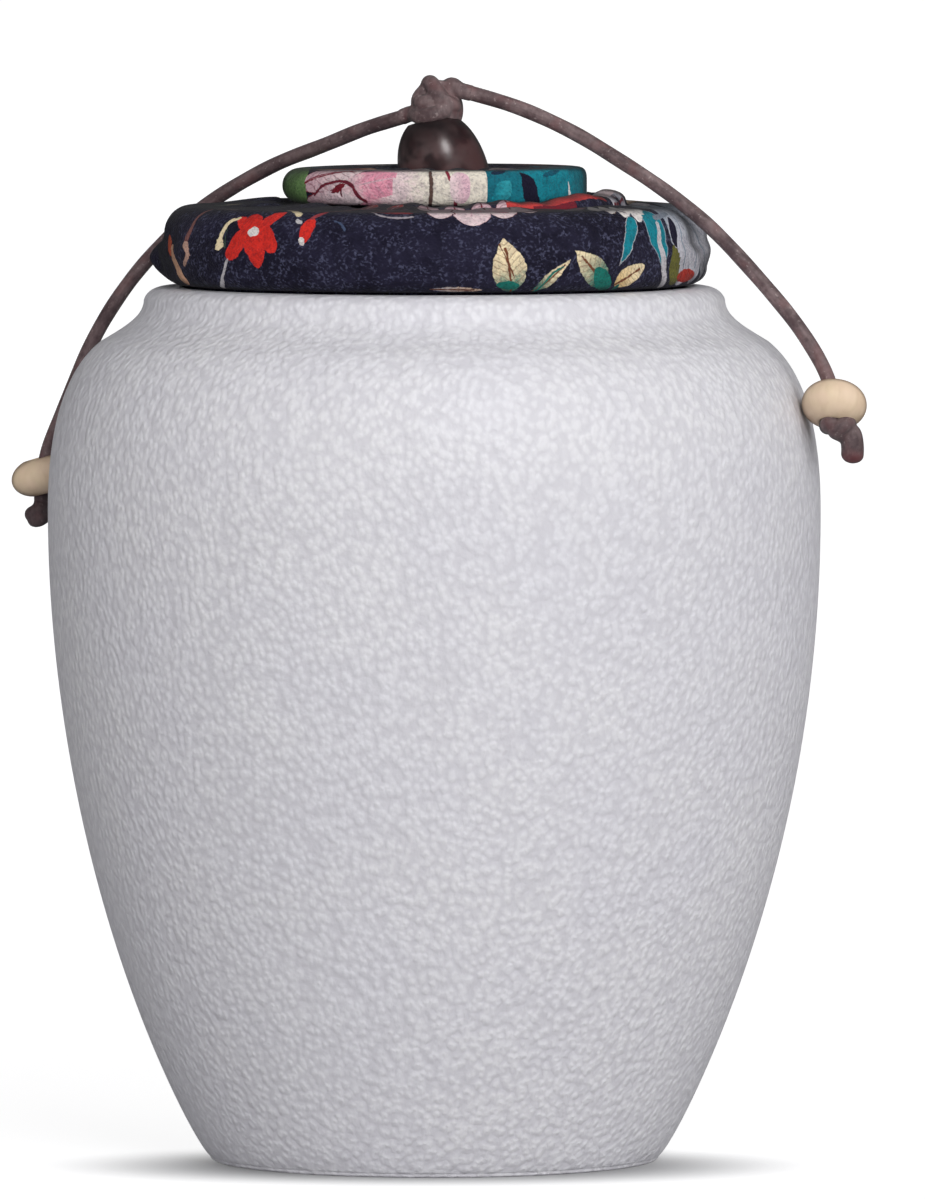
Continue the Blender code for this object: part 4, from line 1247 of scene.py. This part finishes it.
def flower(around, up, size, turn, fill, foot, rim, petals=5):
    """A round flower of equal petals about its middle."""
    angles = turn + math.tau * np.arange(petals) / petals
    return [
        petal(
            (around + 0.12 * size * math.cos(a), up + 0.12 * size * math.sin(a)),
            (around + size * math.cos(a), up + size * math.sin(a)),
            size * 0.42, fill, foot, rim, 0.13, 0.07, 1.5, 0.6, 0.55,
        )
        for a in angles
    ]


def pad_print():
    """The pad's pattern. The front follows the cloth's broad areas; the rest repeats the same kinds."""
    low = laid([
        petal((-23.0, 10.4), (-22.5, 4.2), 2.1, RED, linear(196, 40, 34), blunt=0.45, reach=0.3),
        petal((-23.1, 8.9), (-26.5, 4.0), 1.45, RED, widest=1.5, blunt=0.5),
        petal((-22.2, 7.4), (-22.6, 2.9), 1.4, RED, widest=1.3, blunt=0.6),
        petal((-22.5, 9.8), (-20.4, 5.0), 1.35, RED, widest=1.2, blunt=0.5),
        petal((-22.6, 8.0), (-18.7, 11.2), 1.0, RED, linear(190, 44, 40), widest=1.2, blunt=0.5),
        petal((-23.2, 7.6), (-24.9, 9.7), 1.0, RED, blunt=0.5),
        petal((-15.3, 9.9), (-16.9, 6.0), 1.05, RED, widest=0.8, blunt=0.6),
        petal((-8.6, 12.4), (-2.6, 11.4), 0.8, linear(150, 56, 62), NAVY, DARK_RED, 0.2, blunt=0.6),
        leaf((9.7, -0.6), (8.8, 7.1), 2.35, reach=0.42),
        leaf((12.2, -0.6), (17.6, 4.3), 0.85, rib=0.1, reach=0.5),
        leaf((22.0, 0.2), (17.9, 5.4), 1.75, rib=0.13, reach=0.75),
        petal((23.0, 0.6), (27.0, 3.1), 1.45, CREAM, linear(226, 196, 140), BROWN, 0.0, 0.13, 0.8, 0.6),
        petal((-0.6, 0.2), (6.2, 0.0), 0.55, linear(206, 180, 160), PALE_GREY, BROWN, 0.0, 0.12),
        petal((1.4, 18.5), (0.6, 10.0), 2.3, BLUSH, ROSE, DARK_RED, 0.13, 0.0, 1.5, 0.4),
        petal((4.4, 18.5), (4.7, 8.8), 3.0, BLUSH, ROSE, ROSE, 0.16, 0.09, 1.5, 0.45),
        petal((7.6, 18.5), (8.7, 10.0), 2.5, BLUSH, PINK, DARK_RED, 0.13, 0.0, 1.5, 0.45),
        petal((10.2, 17.5), (12.2, 11.3), 1.9, BLUSH, ROSE, DARK_RED, 0.15, 0.0, 1.5, 0.5),
        petal((19.6, 17.0), (20.9, 11.6), 1.1, WHITE, WHITE, GREY_BLUE, 0.14, 0.0, 1.6, 0.5),
        petal((20.9, 16.6), (22.6, 10.6), 1.15, WHITE, WHITE, BROWN, 0.12, 0.0, 1.6, 0.5),
        petal((22.2, 15.8), (24.4, 9.7), 1.2, WHITE, WHITE, GREY_BLUE, 0.14, 0.0, 1.6, 0.5),
        petal((23.4, 14.6), (26.2, 8.9), 1.2, WHITE, WHITE, GREY_BLUE, 0.14, 0.0, 1.6, 0.5),
        petal((24.4, 13.6), (27.7, 8.5), 1.15, WHITE, WHITE, GREY_BLUE, 0.14, 0.0, 1.6, 0.5),
        petal((25.2, 9.8), (23.5, 3.0), 1.15, TEAL, TEAL, PALE_GREY, 0.14, 0.0, 0.55, 0.8),
        petal((26.4, 11.2), (29.3, 2.6), 2.2, TEAL, TEAL, GREY_BLUE, 0.2, 0.0, 0.62, 0.7),
        petal((25.0, 15.8), (31.0, 10.8), 2.0, linear(84, 134, 142), GREY_BLUE, GREY_BLUE, 0.18, 0.0, 0.9, 0.6),
        petal((30.7, 5.6), (30.7, 0.0), 1.9, OLIVE, OLIVE, OLIVE, 0.0, 0.0, 1.0, 0.5),
    ], front)
    low += [
        petal((a - 1.5, 15.5), (a + 1.0, -0.2), 3.2, STREAKED, GREY_BLUE, GREY_BLUE, 0.25, 0.16, 0.9, 0.45)
        for a in (40.6, 45.0, 49.6, 54.4, 59.2)
    ]
    high = laid([
        petal((-23.85, 7.6), (-22.35, 7.7), 0.72, WHITE, blunt=0.5),
        petal((-17.1, 7.1), (-16.6, 6.0), 0.5, WHITE, blunt=0.5),
        petal((-24.6, 2.8), (-23.9, 4.6), 0.4, NAVY, blunt=0.6),
        petal((31.3, 1.4), (33.6, 1.4), 1.05, linear(176, 50, 36), blunt=0.5),
        petal((21.9, -0.5), (20.6, 3.0), 1.25, SEA, SEA, GREEN, 0.0, 0.0, 1.0, 0.5),
        petal((7.9, 0.9), (10.9, 0.7), 0.75, SEA, SEA, SEA, 0.0, 0.0, 1.0, 0.5),
        petal((6.8, 13.0), (9.6, 11.9), 0.9, PINK, BLUSH, DARK_RED, 0.2, 0.0, 1.0, 0.5),
        petal((16.6, 16.4), (19.4, 15.8), 0.6, PINK, BLUSH, blunt=0.5),
        petal((22.6, -0.6), (23.8, 0.7), 0.5, SEA, blunt=0.5),
        petal((29.9, 9.6), (31.3, 5.2), 0.95, NAVY, NAVY, NAVY, 0.0, 0.0, 1.0, 0.6),
        petal((20.4, 12.6), (22.6, 11.9), 0.35, linear(150, 140, 140), blunt=0.5),
        petal((22.6, 12.2), (24.6, 10.6), 0.3, linear(128, 124, 128), blunt=0.5),
    ], front)
    strokes = laid([
        stroke([(-33.9, 5.2), (-33.2, 2.8), (-31.9, 0.3)], 0.7, 1.0, PEACH),
        stroke([(-34.2, 6.4), (-33.9, 4.4)], 0.45, 0.8, ORANGE),
        stroke([(-28.4, 11.4), (-30.2, 9.6), (-31.2, 7.6), (-31.9, 6.0)], 0.3, 0.55, linear(132, 88, 84)),
        stroke([(-31.9, 6.0), (-31.6, 4.4), (-32.2, 2.8)], 0.6, 0.3, linear(196, 156, 140)),
        stroke([(-27.8, 11.6), (-26.6, 12.0), (-25.2, 11.8)], 0.25, 0.35, linear(132, 112, 116)),
        stroke([(-24.6, 9.7), (-26.1, 9.0), (-27.1, 7.7), (-27.6, 6.4)], 0.25, 0.5, CREAM),
        stroke([(-27.6, 6.6), (-27.6, 5.4)], 0.55, 0.85, CREAM),
        stroke([(-26.6, 7.9), (-26.9, 6.4), (-26.9, 5.4)], 0.12, 0.2, linear(64, 84, 70)),
        stroke([(-26.4, 4.0), (-26.9, -0.4)], 0.24, 0.4, PALE_GREY),
        stroke([(-18.6, 13.4), (-17.8, 12.0), (-17.0, 10.4)], 0.34, 0.5, CREAM),
        stroke([(-17.6, 9.5), (-16.9, 9.1)], 0.3, 0.36, PALE_GREY),
        stroke([(-15.6, 9.8), (-13.6, 11.6), (-11.0, 15.0), (-9.0, 17.4)], 0.4, 0.34, linear(150, 60, 66)),
        stroke([(-13.2, 11.6), (-10.6, 14.0)], 0.16, 0.14, linear(70, 30, 46)),
        stroke([(-8.0, 11.8), (-6.6, 10.5), (-4.6, 10.1), (-2.6, 10.3)], 0.2, 0.26, linear(158, 150, 158)),
        stroke([(-9.0, 16.4), (-6.0, 15.0), (-3.4, 15.2)], 0.3, 0.3, linear(128, 92, 104)),
        stroke([(-12.9, 9.6), (-11.8, 9.0), (-11.2, 8.0)], 0.14, 0.2, linear(66, 78, 104)),
        stroke([(9.6, 18.8), (13.0, 20.2), (17.0, 20.6), (21.0, 20.6)], 1.0, 1.3, linear(190, 62, 60)),
        stroke([(20.6, 21.6), (23.0, 21.8), (26.0, 21.4), (28.0, 20.0)], 1.5, 1.6, BLUSH),
        stroke([(20.0, 23.2), (24.0, 23.6), (28.0, 22.6)], 0.8, 0.8, linear(150, 50, 58)),
        stroke([(10.0, 17.6), (13.4, 18.9), (18.0, 19.2)], 0.4, 0.4, linear(112, 30, 42)),
        stroke([(11.0, 12.2), (13.4, 14.0), (16.0, 15.2)], 0.3, 0.4, linear(126, 34, 44)),
        stroke([(16.6, 13.8), (19.0, 14.4)], 0.3, 0.3, BLUSH),
        stroke([(28.6, 8.8), (29.2, 5.4), (29.5, 2.4), (28.9, -0.4)], 0.4, 0.75, PALE_GREY),
        stroke([(28.2, 9.4), (29.8, 10.2)], 0.5, 0.4, linear(120, 128, 140)),
        stroke([(12.6, -0.6), (15.0, 2.2), (16.6, 3.3)], 0.22, 0.18, SEA),
        stroke([(2.4, 17.0), (2.2, 13.4), (2.7, 11.0)], 0.22, 0.2, DARK_RED),
        stroke([(5.4, 16.4), (6.0, 13.4), (5.4, 11.6)], 0.16, 0.14, PINK),
        stroke([(8.3, 6.4), (9.3, 4.2), (10.2, 2.0)], 0.12, 0.17, BROWN),
    ], front)
    # Round the back: leaves at the base, and red and white flowers half way up
    for k, place in enumerate((66.0, 82.0, 98.0, 114.0, 130.0, 144.0)):
        wave = math.sin(k * 2.4)
        low.append(leaf((place, -0.3), (place + 1.5 * wave, 6.6 + wave), 2.1))
        low.append(leaf((place + 4.6, -0.4), (place + 9.2, 3.6 + wave), 1.0))
        if k % 2:
            low += flower(place + 8.5, 8.4 + wave, 3.1, 0.5 * k, RED, RED, DARK_RED)
            high.append(petal((place + 7.8, 8.4 + wave), (place + 9.2, 8.4 + wave), 0.7, WHITE, blunt=0.5))
        else:
            low += flower(place + 7.5, 10.0 + wave, 4.3, 0.4 * k, WHITE, PINK, DARK_RED, 6)
            high.append(petal((place + 6.6, 10.0 + wave), (place + 8.4, 10.0 + wave), 0.8, CREAM, blunt=0.5))
        low.append(petal((place + 12.6, 9.8), (place + 11.4, 3.2), 1.1, TEAL, TEAL, GREY_BLUE, 0.12, 0.0, 0.6, 0.8))
        strokes.append(stroke([(place - 2.0, 12.6), (place + 1.0, 10.6), (place + 2.0, 8.6)], 0.3, 0.2, CREAM))
    # On the top, between the edge and the button
    low += [
        petal(front(x, 21.0), front(x + 0.8, 14.6), 2.1, BLUSH, ROSE, DARK_RED, 0.12, 0.12)
        for x in (-1.0, 2.4, 5.8, 9.0)
    ]
    low += [petal(front(x, 20.6), front(x - 1.6, 15.4), 1.3, DARK_RED, RED, ROSE, 0.1, 0.1) for x in (-4.2, -7.4)]
    for k in range(13):
        place = -108.0 + 17.2 * k
        wave = math.sin(k * 1.7)
        if k in (4, 5, 6, 7, 8):
            continue
        fill, foot = ((RED, RED), (STREAKED, GREY_BLUE), (PEACH, CREAM), (WHITE, PINK))[k % 4]
        low += flower(place, 18.5 + 1.5 * wave, 4.4, 0.7 * k, fill, foot, DARK_RED, 6)
        low.append(leaf((place + 7.5, 14.5), (place + 9.5, 21.0 + wave), 1.5))
    return low, high, strokes


def make_pad():
    """The lid pad: the turned section with its cloth shaped and printed."""
    grid = turned(PROFILE_PAD, PAD_COLUMNS)
    grid = shape_pad(grid, UP_PAD[:, None] + np.zeros((1, PAD_COLUMNS)))
    pad = round_surface("padded_lid", grid, CLOTH, (0, 0, PAD_TOP - HOLLOW_DEPTH), (0, 0, RIM_HEIGHT - PLUG_DEPTH))
    print_cloth(pad, grid.shape[:2], UP_PAD, PAD_RADIUS, *pad_print())
    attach(pad, "root")
    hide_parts("lid_pad")


# ---- the button ----


def button_grid():
    """The button's section at each angle: from the dimple's floor up its side, over the top, round the edge, a
    superellipse that is rounder at the left than at the right, and back under to the hollow."""
    turns = np.linspace(0, math.tau, BUTTON_COLUMNS, endpoint=False)
    floor_edge = (DIMPLE_RADIUS - DIMPLE_FLARE, DIMPLE_FLOOR)
    dimple_side = (DIMPLE_RADIUS, KNOB_CENTRE[2])
    dimple_edge = (DIMPLE_RADIUS + DIMPLE_FLARE, BUTTON_TOP)
    half = BUTTON_THICKNESS / 2
    inner = np.vstack([
        line((1.0, DIMPLE_FLOOR), floor_edge, 3),
        rounding(floor_edge, (DIMPLE_RADIUS, DIMPLE_FLOOR), dimple_side, 6),
        rounding(dimple_side, (DIMPLE_RADIUS, BUTTON_TOP), dimple_edge, 12),
        line(dimple_edge, (BUTTON_RADIUS - half, BUTTON_TOP), 26),
    ])
    inner = turned(inner, BUTTON_COLUMNS)
    squareness = 3.1 - 1.0 * np.cos(turns - math.pi)
    a = np.linspace(math.pi / 2, -math.pi / 2, 52)[1:, None]
    power = 2 / squareness[None, :]
    r = BUTTON_RADIUS - half + half * np.abs(np.cos(a)) ** power
    z = BUTTON_BASE + half + half * np.sign(np.sin(a)) * np.abs(np.sin(a)) ** power
    edge = np.stack([r * np.cos(turns), r * np.sin(turns), z], axis=-1)
    share = np.linspace(1, 0.07, 9)
    under = np.stack([HOLLOW_RADIUS * share, BUTTON_BASE - HOLLOW_DEPTH * (1 + np.cos(math.pi * share)) / 2], axis=1)
    return np.concatenate([inner, edge, turned(under, BUTTON_COLUMNS)]), len(inner), len(inner) + len(a)


def shape_button(grid):
    """Cloth on the button: shallow swells and folds, a little sag and tilt of the top, and the dimple moved
    with the knob."""
    radius = np.hypot(grid[..., 0], grid[..., 1])
    turn = np.arctan2(grid[..., 1], grid[..., 0])
    grid = grid.copy()
    above = smooth_step(BUTTON_BASE, BUTTON_TOP, grid[..., 2])
    inner = 1 - smooth_step(DIMPLE_RADIUS + DIMPLE_FLARE, BUTTON_RADIUS - 2.5, radius)
    grid[..., 0] += KNOB_OFFSET * above * inner
    gathered = 1 - smooth_step(8.5, 16.0, radius)
    folds = 0.22 * np.cos(14 * turn + 0.8 * np.sin(3 * turn)) * gathered * smooth_step(6.8, 9.0, radius) * above
    swell = 0.07 * np.sin(4 * turn + 1.0) + 0.05 * np.sin(9 * turn + 0.3) + 0.03 * np.sin(23 * turn)
    outer = smooth_step(15.0, 18.5, radius)
    scale = (radius + swell * outer) / np.maximum(radius, 1e-6)
    grid[..., :2] *= scale[..., None]
    tilt = 0.12 * grid[..., 0] / BUTTON_RADIUS
    grid[..., 2] += (folds - 0.1 * gathered + tilt) * above
    return grid


def rim_place(x, up):
    """Where a point seen from the front at x lies on the button's cloth: distance round it, and up it."""
    return BUTTON_RADIUS * math.asin(max(-0.999, min(0.999, x / BUTTON_RADIUS))), up


def button_print():
    """The button's pattern, left to right as the front shows it, then the same kinds round the back."""
    low = [
        petal((-47.0, 2.4), (-19.6, 2.4), 5.2, GREEN, linear(60, 92, 48), GREEN, 0.0, 0.0, 1.0, 0.35, 0.4),
    ]
    low += laid([
        petal((-17.2, 2.6), (-9.6, 6.2), 2.6, BLUSH, ROSE, DARK_RED, 0.2, 0.09, 1.2, 0.5),
        petal((-17.0, 0.2), (-8.6, 1.2), 1.7, linear(228, 206, 210), ROSE, DARK_RED, 0.2, 0.0, 1.0, 0.5),
        petal((-12.0, 2.2), (-3.6, 4.0), 2.5, PINK, BLUSH, ROSE, 0.12, 0.09, 1.1, 0.5, 0.4),
        petal((-10.2, -0.4), (-3.4, 1.4), 1.5, BLUSH, PINK, ROSE, 0.12, 0.0, 1.2, 0.5),
        petal((-10.6, 8.2), (-3.0, 5.2), 1.9, BLUSH, PINK, ROSE, 0.14, 0.09, 1.2, 0.5),
        petal((-15.6, 6.4), (-6.4, 9.4), 2.0, BLUSH, ROSE, ROSE, 0.14, 0.0, 1.2, 0.5),
    ], rim_place)
    low += [
        petal((-5.4, 2.4), (7.2, 2.6), 5.2, LINEN, BLUSH, LINEN, 0.0, 0.0, 1.0, 0.2, 0.3),
        petal((6.6, 2.4), (18.5, 2.4), 5.2, TEAL, linear(22, 104, 120), TEAL, 0.0, 0.0, 1.0, 0.2),
        petal((17.5, 2.4), (33.0, 2.8), 5.2, TEAL, TEAL, TEAL, 0.0, 0.0, 1.0, 0.2),
    ]
    high = laid([
        petal((2.0, 2.6), (4.6, 2.8), 2.2, linear(216, 178, 190), BLUSH, ROSE, 0.0, 0.0, 1.0, 0.5),
        petal((13.6, -0.6), (11.2, 4.4), 1.2, NAVY, NAVY, NAVY, 0.0, 0.0, 0.75, 0.7),
        petal((7.4, 4.2), (9.6, 5.2), 0.7, linear(22, 44, 66), blunt=0.5),
        petal((14.0, 3.4), (16.6, 4.6), 0.6, linear(14, 84, 104), blunt=0.5),
        petal((17.2, 2.6), (17.9, 0.2), 0.55, WHITE, WHITE, GREY_BLUE, 0.0, 0.0, 1.2, 0.6),
        petal((7.4, 1.4), (9.9, 2.6), 0.9, linear(44, 146, 158), TEAL, TEAL, 0.0, 0.0, 1.0, 0.5),
        petal((-13.4, 1.9), (-11.4, 2.9), 0.4, DARK_RED, blunt=0.6),
        petal((-19.2, 3.4), (-18.6, 4.6), 0.8, linear(110, 142, 96), blunt=0.6),
    ], rim_place)
    strokes = laid([
        stroke([(-0.6, 5.6), (-0.4, 2.6), (-0.6, -0.6)], 0.26, 0.34, linear(86, 66, 60)),
        stroke([(1.6, 5.8), (1.9, 3.8), (2.6, 2.2), (2.9, -0.4)], 0.26, 0.3, linear(128, 40, 56)),
        stroke(
            [(-15.6, 1.4), (-14.4, 2.6), (-12.4, 3.2), (-10.8, 2.8), (-9.6, 1.4), (-8.8, 0.6)],
            0.2, 0.32, linear(104, 34, 48),
        ),
        stroke([(-16.6, 3.2), (-14.6, 4.4), (-12.4, 5.2), (-10.6, 5.0)], 0.16, 0.2, linear(132, 60, 74)),
        stroke([(-12.2, 3.0), (-12.0, 1.4)], 0.16, 0.2, linear(104, 34, 48)),
        stroke([(-15.4, -0.4), (-11.8, -0.7), (-9.4, -0.4)], 0.34, 0.3, linear(70, 26, 40)),
    ], rim_place)
    for k, place in enumerate((33.0, 45.0, 57.0, 68.0)):
        wave = math.sin(k * 2.1)
        fill, foot, mark = ((WHITE, PINK, ROSE), (TEAL, SEA, NAVY), (WHITE, ROSE, PINK), (GREEN, OLIVE, CREAM))[k]
        low.append(petal((place, 2.3), (place + 12.5, 2.5), 4.4, fill, foot, ROSE, 0.0, 0.0, 1.0, 0.3))
        high.append(petal((place + 5.0, 0.6), (place + 6.0 + wave, 4.2), 1.0, mark, blunt=0.6))
    for k in range(8):
        place = -50.0 + 15.4 * k
        fill, foot = ((WHITE, PINK), (TEAL, GREY_BLUE), (PEACH, RED), (WHITE, ROSE))[k % 4]
        low += flower(place, 9.3, 3.7, 0.6 * k, fill, foot, DARK_RED, 6)
    return low, high, strokes


def make_button():
    """The button: its section at each angle, with its cloth shaped and printed."""
    grid, edge_start, edge_end = button_grid()
    one_side = grid[:, BUTTON_COLUMNS // 2, :]
    along = np.concatenate([[0], np.cumsum(np.linalg.norm(np.diff(one_side, axis=0), axis=1))])
    up = along[(edge_start + edge_end) // 2] - along + BUTTON_THICKNESS / 2
    grid = shape_button(grid)
    poles = (0, 0, DIMPLE_FLOOR), (0, 0, BUTTON_BASE - HOLLOW_DEPTH)
    button = round_surface("padded_button", grid, CLOTH, *poles)
    print_cloth(button, grid.shape[:2], up, BUTTON_RADIUS, *button_print())
    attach(button, "root")
    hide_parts("lid_button")


make_pad()
make_button()


# ---- the floor and the light ----

FLOOR_REACH = 8.0
FLOOR_GLOW = 0.88
# The painted shadow under the foot, where the floor's own light fades: its middle's shift, its squash from front to
# back, and where it starts and ends
SHADE_SHIFT = (0.0, 0.019, 0.0)
SHADE_SQUASH = (1.0, 1.6, 1.0)
SHADE_RANGE = (0.02, 0.054)


def make_floor():
    """A plain pale floor. Its own light, which only the camera sees, keeps it white, and it fades towards the foot
    as a painted shadow.
    """
    made, shader, principled = new_material("pale_floor", 0.9, Specular_IOR_Level=0.1)
    seen = shader.node("ShaderNodeLightPath").outputs["Is Camera Ray"]
    shader.feed(principled["Base Color"], shader.mix(seen, linear(158, 158, 160), linear(149, 149, 151)))
    place = shader.node("ShaderNodeTexCoord").outputs["Object"]
    shade = shader.node("ShaderNodeMapping", {"Vector": place, "Location": SHADE_SHIFT, "Scale": SHADE_SQUASH})
    away = shader.node("ShaderNodeVectorMath", {0: shade.outputs[0]}, operation="LENGTH").outputs["Value"]
    # Painted shadow: the floor's own light fades towards the foot.
    beyond_painted_shadow = shader.clamp01(*SHADE_RANGE, away)
    principled["Emission Color"].default_value = (1.0, 1.0, 1.0, 1.0)
    glow = shader.math("MULTIPLY", seen, shader.math("MULTIPLY", beyond_painted_shadow, FLOOR_GLOW))
    shader.feed(principled["Emission Strength"], glow)
    corners = np.array([(-1, -1, 0), (1, -1, 0), (1, 1, 0), (-1, 1, 0)]) * FLOOR_REACH / MM
    floor = new_object("floor", corners, [(0, 1, 2, 3)], made, smooth=False)


def sun(name, strength, azimuth, elevation, width):
    """A soft far light. Azimuth is measured from the front towards the right. Only the glint shows in glossy
    surfaces, and it lights nothing else."""
    data = bpy.data.lights.new(name, "SUN")
    data.energy = strength
    data.angle = math.radians(width)
    made = bpy.data.objects.new(name, data)
    a, e = math.radians(azimuth), math.radians(elevation)
    towards = Vector((math.sin(a) * math.cos(e), -math.cos(a) * math.cos(e), math.sin(e)))
    made.rotation_euler = towards.to_track_quat("Z", "Y").to_euler()
    made.visible_glossy = name == "glint"
    made.visible_diffuse = name != "glint"
    bpy.context.scene.collection.objects.link(made)


def make_world():
    """White to the camera, and a dim even light to everything else."""
    world = bpy.data.worlds.new("studio")
    world.use_nodes = True
    shader = Shader(world.node_tree)
    background = world.node_tree.nodes["Background"]
    seen = shader.node("ShaderNodeLightPath").outputs["Is Camera Ray"]
    shader.feed(background.inputs["Strength"], shader.math("MULTIPLY_ADD", seen, 0.95, 0.08))
    background.inputs["Color"].default_value = (1.0, 1.0, 1.0, 1.0)
    bpy.context.scene.world = world


make_floor()
make_world()
sun("key", 0.97, 14, 29, 20)
sun("left_softbox", 1.8, -42, 6, 50)
sun("right_softbox", 3.1, 54, 6, 95)
sun("behind", 0.25, 168, 30, 90)
sun("glint", 0.9, 18, 37, 18)
bpy.context.scene.view_settings.view_transform = "Standard"
